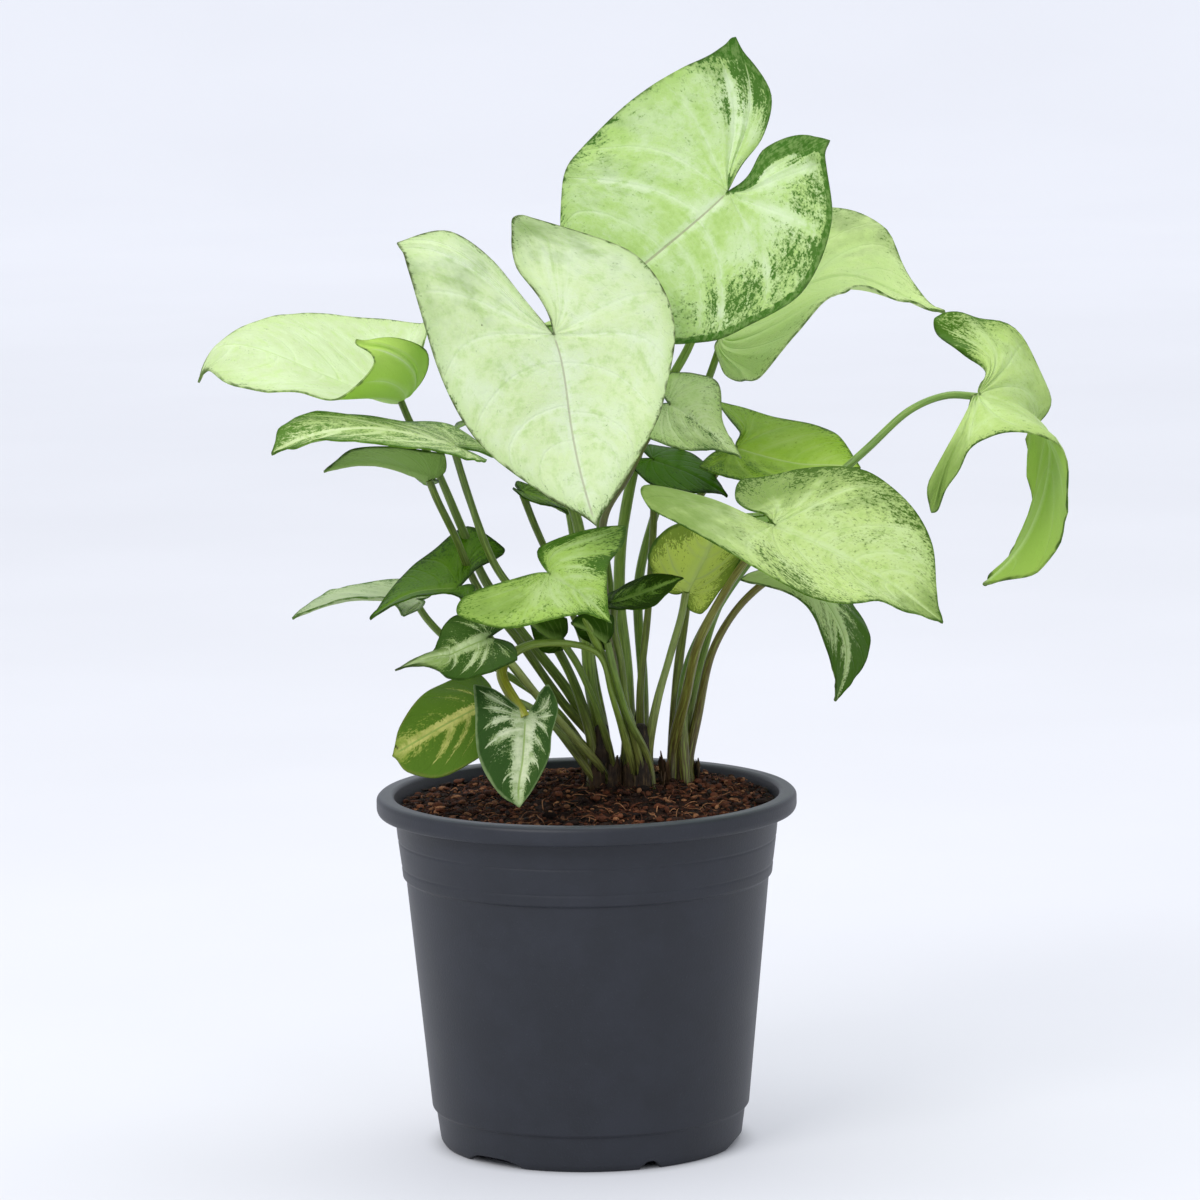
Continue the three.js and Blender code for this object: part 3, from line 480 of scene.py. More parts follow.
        wideB=(94, 38, 184), lobeB=(80, 20, 188), frontA=(56, 80, 179), wideA=(36, 58, 186),
        lobeA=(34, 40, 189),
    ),
}
LEAF_THICKNESS = 0.5
LARGE_LEAF = 36
LARGE_GRID = (96, 24)
SMALL_GRID = (60, 14)
FOOT_LEAN = 0.3
VEIN_START = 0.75
VEIN_BEND = 1.7
VEIN_SWELL = 0.010
RIB_DEPTH = 1.0

# How each leaf is coloured. base, pale, deep and under are its blade, its pale bands, its dark speckles
# and its underside as screen colours, line is its midrib, rim its edge, and foot, petiole and neck are the
# lower end, the middle and the upper end of its stalk. speckle says how many speckles it has, margin how
# strongly they gather at the edge and over how many millimetres, keep how clear of them the pale bands stay,
# and clear how well they show from below. wide is how wide the band of the midrib is in millimetres, veins
# the least and the most strength of the side veins, wave how far the edge waves, as a share of the length,
# and stalk the petiole's radii low, in the middle and at the top, where they are not the usual ones.
# The rest are lists of places on the flat leaf: spots with more or fewer speckles and shades of plain darker
# green, partly the leaf's own colour and partly painted shade (x, y, radius, strength), bands, which are
# dark strips along the edge (side, first and last segment of the edge, millimetres wide), dots (x, y), and
# horns, where the edge is drawn out to a point (x, y, push x, push y, reach).
PLAIN = {
    "speckle": 0.0, "margin": (0.2, 3), "keep": 0.4, "clear": 0.25, "wide": 3.0, "veins": (0.25, 1.0),
    "wave": 0.012, "petiole": (112, 140, 58), "foot": (110, 112, 60), "neck": None, "stalk": None,
    "spots": [], "shades": [], "bands": [], "dots": [], "horns": [],
}
PALE = {
    "base": (203, 226, 150), "pale": (228, 242, 205), "deep": (72, 116, 38), "rim": (74, 104, 48),
    "under": (156, 198, 70), "line": (210, 226, 172),
}
FRESH = {
    "base": (184, 212, 118), "pale": (214, 233, 170), "deep": (70, 116, 26), "rim": (74, 110, 36),
    "under": (150, 190, 72), "line": (208, 226, 160),
}
DARK = {
    "base": (98, 138, 36), "pale": (152, 184, 92), "deep": (52, 86, 16), "rim": (44, 72, 18),
    "under": (112, 152, 44), "line": (150, 180, 92),
}


def painted(kind, **own):
    """The look of one leaf: its kind's colours, with what is its own in their place."""
    return {**PLAIN, **kind, **own}


LOOKS = {
    "leaf_top": painted(
        PALE, base=(206, 231, 153), pale=(234, 246, 212), deep=(72, 120, 42), line=(176, 170, 148),
        keep=0.8, speckle=-0.03, margin=(0.24, 2.5), petiole=(130, 160, 70),
        bands=[(1, 1, 9.4, 2.2), (1, 9.2, 14, 7.5), (-1, 9.6, 12.4, 2.2), (-1, 8.6, 10.6, 4.5)],
        spots=[
            (0.46, 0.36, 0.15, 0.28), (0.32, 0.42, 0.12, 0.28), (0.16, 0.44, 0.12, 0.24),
            (-0.04, 0.52, 0.14, 0.3), (-0.3, 0.5, 0.16, 0.26), (-0.48, 0.36, 0.16, 0.28),
            (-0.5, -0.5, 0.16, 0.4), (-0.42, -0.35, 0.12, 0.3), (-0.3, -0.38, 0.07, 0.3),
            (0.78, -0.2, 0.12, 0.2), (0.3, -0.55, 0.12, 0.16),
        ],
        shades=[
            (-0.5, 0.5, 0.16, 0.7), (-0.52, -0.52, 0.2, 0.5), (0.1, -0.5, 0.2, 0.3), (0.5, -0.45, 0.2, 0.3),
        ],
        dots=[(0.24, -0.56), (0.26, -0.55)],
        horns=[(-0.56, -0.56, -0.036, -0.011, 0.06), (-0.56, 0.56, -0.03, 0.05, 0.07)],
    ),
    "leaf_front": painted(
        PALE, base=(230, 242, 196), pale=(238, 246, 222), rim=(74, 88, 46), line=(186, 182, 164),
        margin=(0.3, 1.5), veins=(0.3, 0.85), speckle=-0.06, petiole=(112, 140, 52),
        spots=[(-0.4, -0.2, 0.2, 0.06), (0.9, 0, 0.12, 0.12), (-0.5, 0.42, 0.16, 0.14)],
        shades=[(-0.5, 0.45, 0.2, 0.75), (-0.3, -0.3, 0.22, 0.3), (-0.1, -0.62, 0.3, 0.3)],
        dots=[(0, -0.36), (0.4, -0.14), (0.38, 0.34), (0.49, 0.42)],
    ),
    # leaf_right_back's colours are set paler, partly its own pale colour and partly painted light for its
    # lower lobe in the shade of leaf_top; its shades along the upper edge are painted shade
    "leaf_right_back": painted(
        FRESH, base=(215, 235, 162), under=(236, 244, 196), wave=0.02, margin=(0.2, 4), clear=0.1,
        shades=[(0.6, 0.5, 0.3, 0.7), (0.2, 0.6, 0.2, 0.3)],
    ),
    "leaf_droop": painted(
        FRESH, base=(202, 224, 142), rim=(60, 94, 30), under=(178, 209, 102), margin=(0.24, 2),
        petiole=(112, 148, 66), foot=(100, 84, 48), wave=0.028,
        spots=[(-0.5, 0.5, 0.24, 0.3), (-0.5, 0.3, 0.12, 0.2)],
        shades=[(-0.5, 0.5, 0.34, 0.4), (-0.52, -0.5, 0.3, 1.3), (0.1, 0.6, 0.3, 0.3)],
    ),
    "leaf_left": painted(
        PALE, base=(219, 229, 190), pale=(232, 242, 210), rim=(104, 128, 72), under=(200, 230, 118),
        margin=(0.2, 1.5), petiole=(100, 124, 52), horns=[(-0.56, 0.56, -0.09, 0.02, 0.09)], speckle=-0.04,
    ),
    "leaf_left_flat": painted(
        FRESH, base=(214, 232, 160), pale=(232, 242, 196), deep=(90, 134, 46), speckle=0.26, keep=0.5,
        veins=(0.1, 0.9), petiole=(88, 112, 42), shades=[(-0.3, 0.3, 0.5, 0.5)], wide=4.0,
    ),
    "leaf_left_under": painted(
        DARK, base=(124, 164, 70), pale=(176, 200, 130), under=(152, 188, 98), speckle=0.12,
        margin=(0.3, 3), veins=(0.1, 0.4), petiole=(92, 112, 46),
    ),
    "leaf_left_dark": painted(
        DARK, base=(90, 136, 16), pale=(112, 152, 44), under=(96, 140, 34), speckle=0.1, margin=(0.3, 3),
        veins=(0.1, 0.6), petiole=(98, 120, 46),
    ),
    # leaf_left_low's colours are set greyer and darker than the usual fresh ones, a painted shade for the
    # shade it lies in
    "leaf_left_low": painted(
        FRESH, base=(190, 204, 166), pale=(206, 216, 186), under=(214, 228, 180), speckle=0.06,
        margin=(0.3, 3),
    ),
    "leaf_centre": painted(
        FRESH, base=(192, 222, 116), pale=(214, 234, 168), speckle=0.06, margin=(0.22, 4),
        petiole=(118, 146, 56), bands=[(1, 10.8, 13, 1.6)],
        spots=[
            (-0.42, 0.3, 0.14, 0.3), (0.1, 0.52, 0.2, 0.3), (0.7, -0.25, 0.16, 0.2), (0.8, 0.1, 0.14, 0.24),
        ],
        shades=[(-0.45, -0.45, 0.4, 0.55), (-0.45, 0.4, 0.2, 0.4)],
    ),
    "leaf_right": painted(
        FRESH, base=(210, 230, 150), pale=(222, 238, 182), deep=(72, 110, 30), speckle=0.09,
        margin=(0.22, 2), petiole=(116, 112, 48), foot=(92, 76, 40), veins=(0.1, 0.6),
        spots=[
            (-0.5, 0.5, 0.12, 0.2), (0.1, 0.56, 0.2, 0.16), (-0.2, 0.56, 0.2, 0.16), (0.4, 0.48, 0.16, 0.1),
            (-0.08, -0.4, 0.1, 0.2), (0.06, -0.48, 0.1, 0.18), (0.2, -0.54, 0.1, 0.12),
            (-0.5, -0.4, 0.3, -0.2),
        ],
        shades=[
            (-0.45, -0.42, 0.34, 0.8), (-0.45, 0.45, 0.34, 1.0), (0.1, 0.6, 0.3, 0.55),
            (0.92, 0, 0.22, 0.75),
        ],
    ),
    "leaf_right_mid": painted(
        FRESH, base=(168, 205, 56), pale=(188, 216, 104), deep=(78, 122, 14), line=(204, 220, 156),
        margin=(0.3, 3), clear=0.4, petiole=(112, 120, 56), foot=(100, 88, 50),
        spots=[(0.2, -0.3, 0.2, 0.3), (-0.3, -0.4, 0.2, 0.3)],
        shades=[(0.2, -0.35, 0.4, 0.6), (-0.3, -0.4, 0.3, 0.5)],
    ),
    "leaf_mid_pale": painted(
        PALE, base=(222, 240, 170), pale=(234, 246, 196), margin=(0.2, 4), keep=0.1, petiole=(124, 120, 84),
        spots=[(0.35, -0.04, 0.12, 0.36), (0.62, -0.08, 0.12, 0.36), (0.5, -0.4, 0.3, 0.1)],
        shades=[(0.5, -0.35, 0.4, 0.6)],
    ),
    "leaf_mid_dark": painted(
        DARK, base=(88, 142, 16), pale=(92, 142, 34), line=(90, 130, 46), speckle=0.05, margin=(0.3, 2),
        veins=(0.1, 0.5), petiole=(110, 122, 50),
    ),
    "leaf_under": painted(
        FRESH, base=(150, 164, 60), pale=(206, 220, 146), deep=(96, 134, 22), under=(230, 246, 116),
        speckle=0.1, margin=(0.4, 4), clear=0.7, petiole=(150, 168, 92), wide=4.5,
        spots=[(0.6, -0.3, 0.2, 0.2), (0.1, 0.5, 0.3, 0.2)],
        shades=[(0.8, -0.2, 0.3, 0.4), (0.2, -0.5, 0.3, 0.3)],
    ),
    "leaf_curl": painted(
        DARK, base=(80, 116, 26), deep=(40, 66, 8), speckle=0.3, margin=(0.3, 3), petiole=(98, 116, 46),
    ),
    "leaf_hang_right": painted(
        DARK, base=(206, 222, 160), pale=(214, 230, 178), deep=(66, 108, 18), rim=(58, 88, 30),
        under=(206, 222, 156), speckle=0.55, margin=(0.3, 4), keep=0.6, wide=6.4, veins=(0.1, 0.5),
        petiole=(112, 102, 48), foot=(92, 74, 38),
        spots=[(-0.2, 0, 0.5, -0.6), (-0.5, -0.5, 0.4, -1.4), (0.3, -0.5, 0.3, -0.3)],
    ),
    "leaf_variegated_top": painted(
        DARK, base=(160, 186, 108), pale=(230, 242, 196), deep=(62, 98, 36), speckle=0.44, margin=(0.3, 3),
        keep=0.72, wide=5.5, veins=(0.1, 1.1), petiole=(150, 162, 92), spots=[(1.0, 0, 0.3, -1.0)],
        dots=[(0.99, 0), (1.0, 0.01)],
    ),
    "leaf_variegated_hang": painted(
        DARK, base=(156, 182, 116), pale=(244, 250, 216), deep=(50, 86, 36), rim=(140, 162, 110),
        speckle=0.42, margin=(0.3, 3), keep=0.72, wide=6.6, veins=(0.1, 1.1), petiole=(118, 142, 56),
        neck=(146, 148, 40), stalk=(1.2, 0.7, 1.7),
        spots=[(-0.35, 0.3, 0.2, -0.3), (-0.35, -0.3, 0.2, -0.3)],
    ),
    "leaf_variegated_low": painted(
        DARK, base=(160, 176, 76), pale=(226, 222, 136), deep=(92, 130, 42), rim=(120, 136, 60),
        speckle=0.46, margin=(0.4, 3), keep=0.72, wide=4.2, veins=(0.0, 0.8), petiole=(144, 168, 96),
        spots=[(1.0, 0, 0.24, -1.0), (-0.3, 0.1, 0.4, 0.4)], dots=[(0.9, -0.04), (0.92, -0.06)],
    ),
    "leaf_small_dark": painted(DARK, base=(94, 130, 40), speckle=0.15, petiole=(98, 120, 50)),
    # the two low leaves under leaf_centre have a darker green than the usual dark leaves, a painted shade
    "leaf_low_under_left": painted(DARK, base=(56, 92, 20), under=(62, 98, 22), speckle=0.15),
    "leaf_low_under_right": painted(DARK, base=(48, 84, 16), under=(52, 88, 18), speckle=0.2),
    "leaf_back_high": painted(FRESH, speckle=0.04, margin=(0.3, 3), shades=[(0.3, 0.5, 0.4, 0.3)]),
    "leaf_back_left": painted(FRESH, speckle=0.06, margin=(0.3, 3), shades=[(0.3, -0.5, 0.4, 0.3)]),
    "leaf_back_right": painted(FRESH, speckle=0.05, margin=(0.3, 3), shades=[(-0.3, 0.4, 0.4, 0.3)]),
}


def leaf_map(leaf):
    """A smooth map from the flat leaf into space that passes through all the marks of one leaf."""
    names = [name for name in MARKS if name in leaf]
    flat = np.array([MARKS[name] for name in names], float)
    goal = np.array([leaf[name] for name in names], float)
    count = len(names)

    def bend(points):
        square = ((points[:, None] - flat[None]) ** 2).sum(-1)
        return np.where(square > 1e-12, square * np.log(np.maximum(square, 1e-12)), 0)

    system = np.zeros((count + 3, count + 3))
    system[:count, :count] = bend(flat)
    system[:count, count] = 1
    system[:count, count + 1:] = flat
    system[count:, :count] = system[:count, count:].T
    weights = np.linalg.solve(system, np.vstack([goal, np.zeros((3, 3))]))

    def place(points):
        points = np.asarray(points, float).reshape(-1, 2)
        return np.hstack([bend(points), np.ones((len(points), 1)), points]) @ weights

    return place


def edge_point(share):
    """The edge of side A at a share of 0 to 1 of the run from the tip to the sinus."""
    run = np.clip(np.asarray(share, float), 0, 1) * SEGMENTS
    at = np.minimum(run.astype(int), SEGMENTS - 1)
    w = (run - at)[:, None]
    before, start = HALF_EDGE[np.maximum(at - 1, 0)], HALF_EDGE[at]
    end, after = HALF_EDGE[at + 1], HALF_EDGE[np.minimum(at + 2, SEGMENTS)]
    a, b = (end - before) / 2, (after - start) / 2
    return curve(start, end, a, b, w)


def flat_place(share, depth):
    """The place on side A of the flat leaf at a share of its edge and a share of the way out to it."""
    rim = edge_point(share)
    foot = np.maximum(0, rim[:, 0] - FOOT_LEAN * rim[:, 1])
    foot[share > 0.995] = 0
    return np.stack([foot + (rim[:, 0] - foot) * depth, rim[:, 1] * depth], 1)


def flat_leaf(columns, rows):
    """The corners of the flat leaf, the edge share, depth and side of each, and the faces."""
    share = np.arange(columns + 1) / columns
    depth = (np.arange(rows + 1) / rows) ** 1.3
    grid = [flat_place(share, out) for out in depth]
    corners, shares, faces, index = [], [], [], {}

    def corner(i, j, side):
        x, y = grid[j][i] * (1, side)
        key = (round(x, 6), round(y, 6) + 0.0)
        if key not in index:
            index[key] = len(corners)
            corners.append((x, y))
            shares.append((share[i], depth[j], side))
        return index[key]

    for side in (1, -1):
        for i in range(columns):
            for j in range(rows):
                places = ((i, j), (i, j + 1), (i + 1, j + 1), (i + 1, j))
                loop = [corner(*at, side) for at in places]
                loop = [k for n, k in enumerate(loop) if k != loop[n - 1]]
                if len(loop) > 2:
                    faces.append(loop if side > 0 else loop[::-1])
    return np.array(corners), np.array(shares).T, faces


# Where the veins reach the edge: the place along the edge, in segments of HALF_EDGE, of each whole number.
VEIN_KNOTS = (0, 1.3, 2.3, 3.2, 4.1, 5.2, 6.8, 8.8, 10.6, 12.6, 16)


def vein_knots(seed):
    """The same places moved a little, for each side of one leaf, so that no two leaves are veined alike."""
    shift = np.random.default_rng(seed).uniform(-0.3, 0.3, (2, len(VEIN_KNOTS)))
    shift[:, [0, -1]] = 0
    return np.array(VEIN_KNOTS) + shift


def vein_phase(share, depth, knots):
    """Whole numbers lie on the side veins, which run out from the midrib and curve towards the tip."""
    run = share * SEGMENTS
    fade = np.where(run < 5, 1, np.exp(-(run - 5) / 2.5))
    lean = fade * (VEIN_BEND * depth ** 2 - VEIN_START * depth - 0.25)
    return np.interp(run + lean, knots, range(len(knots)))


def blots(x, y, places):
    """Soft round patches at places on the flat leaf, each of them (x, y, radius, strength), in one sum."""
    total = np.zeros(len(x))
    for at_x, at_y, radius, strength in places:
        total = total + strength * np.exp(-((x - at_x) ** 2 + (y - at_y) ** 2) / radius ** 2)
    return total


def edge_bands(share, side, bands):
    """How many millimetres wide the dark strip along the edge is beside each corner."""
    wide = np.zeros(len(share))
    run = share * SEGMENTS
    for which, first, last, width in bands:
        inside = smooth(run, first - 0.8, first + 0.8) * (1 - smooth(run, last - 0.8, last + 0.8))
        wide = np.maximum(wide, width * inside * (side == which))
    return wide


def border_of(faces):
    """The edges that only one face has, each in the direction that its face gives it."""
    once = {}
    for face in faces:
        for a, b in zip(face, face[1:] + face[:1]):
            if once.pop((b, a), None) is None:
                once[a, b] = True
    return list(once)


def leaf_blade(name, leaf, look, material, seed):
    """The blade of a leaf: two skins closed along the edge. Its attributes tell the material where it is."""
    place = leaf_map(leaf)
    length = float(np.linalg.norm(np.subtract(leaf["apex"], leaf["attach"])))
    flat, (share, depth, side), faces = flat_leaf(*(LARGE_GRID if length > LARGE_LEAF else SMALL_GRID))
    x, y = flat.T
    count = len(flat)
    tiny = 1e-3
    along = place(flat + (tiny, 0)) - place(flat - (tiny, 0))
    across = place(flat + (0, tiny)) - place(flat - (0, tiny))
    normal = np.cross(along, across)
    normal /= np.linalg.norm(normal, axis=1)[:, None]
    middle = place(flat)
    for at_x, at_y, push_x, push_y, reach in look["horns"]:
        pull = np.maximum(0, 1 - np.hypot(x - at_x, y - at_y) / reach) ** 1.6
        middle = middle + place(flat + pull[:, None] * (push_x, push_y)) - place(flat)

    # distances in millimetres: from the edge, from the midrib and, by pitch, from one side vein to the next
    outline = edge_point(np.linspace(0, 1, 241))
    edge = nearest(flat, np.vstack([outline, outline * (1, -1)])) * length
    rib = np.hypot(np.minimum(x, 0), y) * length
    knots = vein_knots(seed)
    low, high = np.clip(share - 0.01, 0, 1), np.clip(share + 0.01, 0, 1)
    phase = np.where(side > 0, *(vein_phase(share, depth, row) for row in knots))
    turn = np.where(side > 0, *(vein_phase(high, depth, row) - vein_phase(low, depth, row) for row in knots))
    apart = np.linalg.norm(flat_place(high, depth) - flat_place(low, depth), axis=1) * length
    pitch = np.minimum(apart / np.maximum(turn, 1e-3), 30)
    force = np.random.default_rng(seed + 50).uniform(*look["veins"], (2, len(VEIN_KNOTS)))
    force = force[(side < 0).astype(int), np.round(phase).astype(int)]
    off_vein = np.abs(phase - np.round(phase))

    # between its veins a blade swells upward, its edge waves a little, and its midrib lies in a furrow
    swell = VEIN_SWELL * length * force * (smooth(off_vein, 0.02, 0.45) - 0.5)
    swell *= smooth(edge, 0, 5) * smooth(rib, 0, 6)
    ripple = waves(5, seed, 0.35, 1.3)(np.stack([phase, side * 3], 1))
    swell += look["wave"] * length * ripple * smooth(depth, 0.4, 1)
    swell -= 0.5 * np.exp(-((rib / 1.1) ** 2)) * (x > 0)
    middle = middle + normal * swell[:, None]
    keel = RIB_DEPTH * np.clip(1.05 - x, 0.08, 1) * np.exp(-((rib / 0.9) ** 2))
    keel = keel + 0.12 * np.exp(-((off_vein / 0.1) ** 2))
    half = LEAF_THICKNESS / 2
    corners = np.vstack([middle + normal * half, middle - normal * (half + keel[:, None])])
    below = [[k + count for k in reversed(face)] for face in faces]
    closing = [[b, a, a + count, b + count] for a, b in border_of(faces)]

    strength, reach = look["margin"]
    fields = {
        "vein": phase, "pitch": pitch, "force": force, "edge": edge, "rib": rib,
        "dark": look["speckle"] + strength * np.exp(-edge / reach) + blots(x, y, look["spots"]),
        "band": edge_bands(share, side, look["bands"]), "shade": blots(x, y, look["shades"]),
        "dot": nearest(flat, np.array(look["dots"] or [(9, 9)])) * length,
        "clear": np.full(count, look["clear"]), "keep": np.full(count, look["keep"]),
        "wide": look["wide"] * np.clip(1.15 - 0.75 * x, 0.3, 1.15),
        "streak": np.stack([phase * 7 + side * 40 + seed * 13.7, edge, np.full(count, seed * 3.1)], 1),
        "spread": np.stack([x * length, y * length, np.full(count, seed * 17.3)], 1),
    }
    attributes = {key: np.concatenate([values, values]) for key, values in fields.items()}
    attributes["below"] = np.repeat([0.0, 1.0], count)
    for key in ("base", "pale", "deep", "under", "line", "rim"):
        attributes[key] = np.tile(srgb(*look[key]), (2 * count, 1))
    return mesh_object(f"{name}_blade", corners, faces + below + closing, material, attributes)


LEAF_TINT = (0.7, 1.0, 0.25, 1)
LEAF_LIGHT = (200, 235, 60)


def leaf_material(name, roughness, shine):
    s = Shader(name)
    base, pale, deep = (s.attribute(key, "Color") for key in ("base", "pale", "deep"))
    under, hem = s.attribute("under", "Color"), s.attribute("rim", "Color")
    edge, rib, force, strip = (s.attribute(key) for key in ("edge", "rib", "force", "band"))
    spread, streak = s.attribute("spread", "Vector"), s.attribute("streak", "Vector")
    turn = s.math("FRACT", s.attribute("vein"), 0.0)
    gap = s.math("MINIMUM", turn, 1.0 - turn) * s.attribute("pitch")
    fine = s.noise(spread, 1.6, 3.0, 0.6)
    patch = s.noise(spread, 0.14, 3.0, 0.55)
    cloud = s.noise(spread, 0.07, 3.0, 0.5)
    frayed = gap + (fine - 0.5) * 1.6

    # pale lines along the midrib and the side veins, each in a softer and wider band
    thin = s.step(gap, 0.1, 0.5, 1.0, 0.0) * force * s.step(edge, 0.8, 4.0)
    soft = s.step(frayed, 0.2, 2.6, 1.0, 0.0) * force * s.step(edge, 2.0, 9.0)
    reach = (rib + (fine - 0.5) * 1.5) / s.attribute("wide")
    band = s.math("MAXIMUM", soft, s.step(reach, 0.25, 1.0, 1.0, 0.0))
    net = s.step(s.cell_edges(spread, 0.5), 0.0, 0.14, 1.0, 0.0)
    wash = s.math("ADD", band * 0.6 + net * 0.1, s.step(cloud, 0.4, 0.66, 0.0, 0.55), clamp=True)
    colour = s.mix(wash, base, pale)
    colour = s.mix(thin * 0.55, colour, pale)

    # a mottling of fresher and paler green, a fresher edge, and the shaded parts
    half = s.mix(0.5, base, deep)
    lush = s.mix(0.5, base, under)
    blotch = s.noise(spread, 0.36, 4.0, 0.66)
    mottle = blotch * 0.5 + s.noise(s.stretch(streak, (1.0, 0.3, 1.0)), 0.5, 3.0, 0.6) * 0.5
    colour = s.mix(s.step(mottle, 0.47, 0.66, 0.0, 0.7), colour, lush)
    colour = s.mix(s.step(mottle, 0.34, 0.5, 0.5, 0.0), colour, pale)
    colour = s.mix(s.step(edge + blotch * 5.0, 2.0, 8.0, 0.6, 0.0), colour, lush)
    uneven = (patch - 0.5) * 1.2 + s.attribute("shade")
    shaded = s.step(uneven - band * 0.25, 0.1, 0.9)
    colour = s.mix(shaded, colour, s.mix(0.45, lush, deep))

    # dark speckles: grains and short streaks between the veins, each in a paler cloud of green
    grains = s.noise(s.stretch(streak, (1.0, 0.4, 1.0)), 1.7, 3.0, 0.65)
    guard = s.attribute("keep") * (s.math("MAXIMUM", band, thin) * 0.42)
    field = grains * 0.46 + fine * 0.36 + patch * 0.18 + s.attribute("dark") * 0.5 - guard
    colour = s.mix(s.step(field, 0.55, 0.66, 0.0, 0.9), colour, half)
    speck = s.step(field, 0.63, 0.69)
    colour = s.mix(speck * 0.92, colour, deep)

    # the dark band that some leaves have along part of their edge, the thin rim, and the line of the midrib
    torn = s.noise(spread, 0.45, 4.0, 0.65) + (grains - 0.5) * 0.8
    inset = edge + (torn - 0.5) * (strip * 0.6 + 0.8) + band * strip * 0.35
    worn = s.mix(s.step(torn, 0.38, 0.66, 0.0, 0.5), deep, half)
    colour = s.mix(s.step(strip - inset, -0.25, 0.25), colour, worn)
    rim = s.step(edge + s.noise(spread, 0.35), 0.7, 1.45, 0.9, 0.0) * s.step(patch, 0.38, 0.6, 0.4, 1.0)
    colour = s.mix(rim, colour, hem)
    line = s.step(rib, 0.15, 0.5, 0.75, 0.0) * s.step(edge, 1.0, 3.0)
    colour = s.mix(line, colour, s.attribute("line", "Color"))
    colour = s.mix(s.step(s.attribute("dot"), 0.35, 0.75, 0.9, 0.0), colour, srgb(70, 78, 44))

    # from below: one plainer green with paler veins
    dull = s.mix(thin * 0.35 + band * 0.35, under, pale)
    dull = s.mix(shaded * 0.6, dull, s.mix(0.5, under, deep))
    dull = s.mix(speck * s.attribute("clear"), dull, deep)
    dull = s.mix(s.step(rib, 0.3, 1.1, 0.5, 0.0), dull, pale)
    dull = s.mix(rim, dull, hem)
    colour = s.mix(s.attribute("below"), colour, dull)

    relief = s.step(gap, 0.0, 0.8, -1.0, 0.0) + net * -0.3 + fine * 0.5
    normal = s.bump(relief, 0.0002, 0.6)
    gloss = cloud * 0.12 + (roughness - 0.06)
    light = s.mix(0.4, colour, srgb(*LEAF_LIGHT), "MULTIPLY")
    return s.surface(colour, gloss, normal, shine, light, 0.4, LEAF_TINT)


# Petioles and stems
PETIOLE_TIP = 1.15
# A petiole's foot stands beside its stem: how far from the axis in the soil, just above it and where it
# leaves the stem, and how high the first two of these places are.
FOOT_REACH = (5.4, 4.6, 2.8)
FOOT_BOTTOM = 99
FOOT_MIDDLE = 108
STEM_FOOT = 96
STEM_TOP = 131.6
STEM_HEIGHTS = (84, 105, 118, 127, 130.8, 132)
STEM_RADII = (2.4, 2.8, 2.8, 2.6, 2.0, 0.6)
STEM_JOINTS = (110, 116.5, 122)
SHEATHS = 6
SHEATH_BOTTOM = 103


def smooth_run(points, count):
    """Evenly spaced points along the centripetal curve through the given ones, and its length."""
    points = np.asarray(points, float)
    whole = np.vstack([2 * points[0] - points[1], points, 2 * points[-1] - points[-2]])
    dense = []
    for p0, p1, p2, p3 in zip(whole, whole[1:], whole[2:], whole[3:]):
        d0, d1, d2 = (math.sqrt(np.linalg.norm(b - a)) for a, b in ((p0, p1), (p1, p2), (p2, p3)))
        a = ((p1 - p0) / d0 - (p2 - p0) / (d0 + d1) + (p2 - p1) / d1) * d1
        b = ((p2 - p1) / d1 - (p3 - p1) / (d1 + d2) + (p3 - p2) / d2) * d1
        t = np.linspace(0, 1, 40, endpoint=False)[:, None]
        dense.append(curve(p1, p2, a, b, t))
    dense = np.vstack([*dense, points[-1:]])
    run = np.concatenate([[0], np.cumsum(np.linalg.norm(np.diff(dense, axis=0), axis=1))])
    even = np.linspace(0, run[-1], count)
    return np.stack([np.interp(even, run, dense[:, k]) for k in range(3)], 1), run[-1]


def tube(points, radii, sides):
    """Rings of corners round a run of points, with the faces of the closed tube."""
    heads = np.gradient(points, axis=0)
    heads /= np.linalg.norm(heads, axis=1)[:, None]
    out = np.cross(heads[0], (0.0, 1.0, 0.0))
    angle = circle(sides)
    corners = []
    for point, head, radius in zip(points, heads, radii):
        out = out - head * (out @ head)
        out /= np.linalg.norm(out)
        ring = np.outer(np.cos(angle), out) + np.outer(np.sin(angle), np.cross(head, out))
        corners.append(point + ring * radius)
    last = (len(points) - 1) * sides
    ends = [tuple(range(sides - 1, -1, -1)), tuple(range(last, last + sides))]
    return np.vstack(corners), ring_faces(len(points), sides) + ends


def leaf_normal(place):
    """The direction in which the upper side of a leaf faces where its petiole joins it."""
    points = place([(0.05, 0), (0, 0), (0.02, 0.05), (0.02, -0.05)])
    normal = np.cross(points[0] - points[1], points[2] - points[3])
    return normal / np.linalg.norm(normal)


def spread_feet(stem):
    """The direction, from the axis of a stem, in which the foot of each of its petioles stands."""
    wish = {}
    for name, leaf in LEAVES.items():
        if leaf["stem"] == stem:
            x, y = np.subtract(leaf["petiole"][0][:2], STEMS[stem])
            wish[name] = math.atan2(y, x)
    names = sorted(wish, key=wish.get)
    angles = np.array([wish[name] for name in names])
    room = 2 * math.pi / len(names) * 0.9
    for _ in range(60):
        gap = np.append(angles[1:], angles[0] + 2 * math.pi) - angles
        push = np.maximum(0, room - gap) * 0.25
        angles = angles - push + np.roll(push, 1)
    return dict(zip(names, angles))


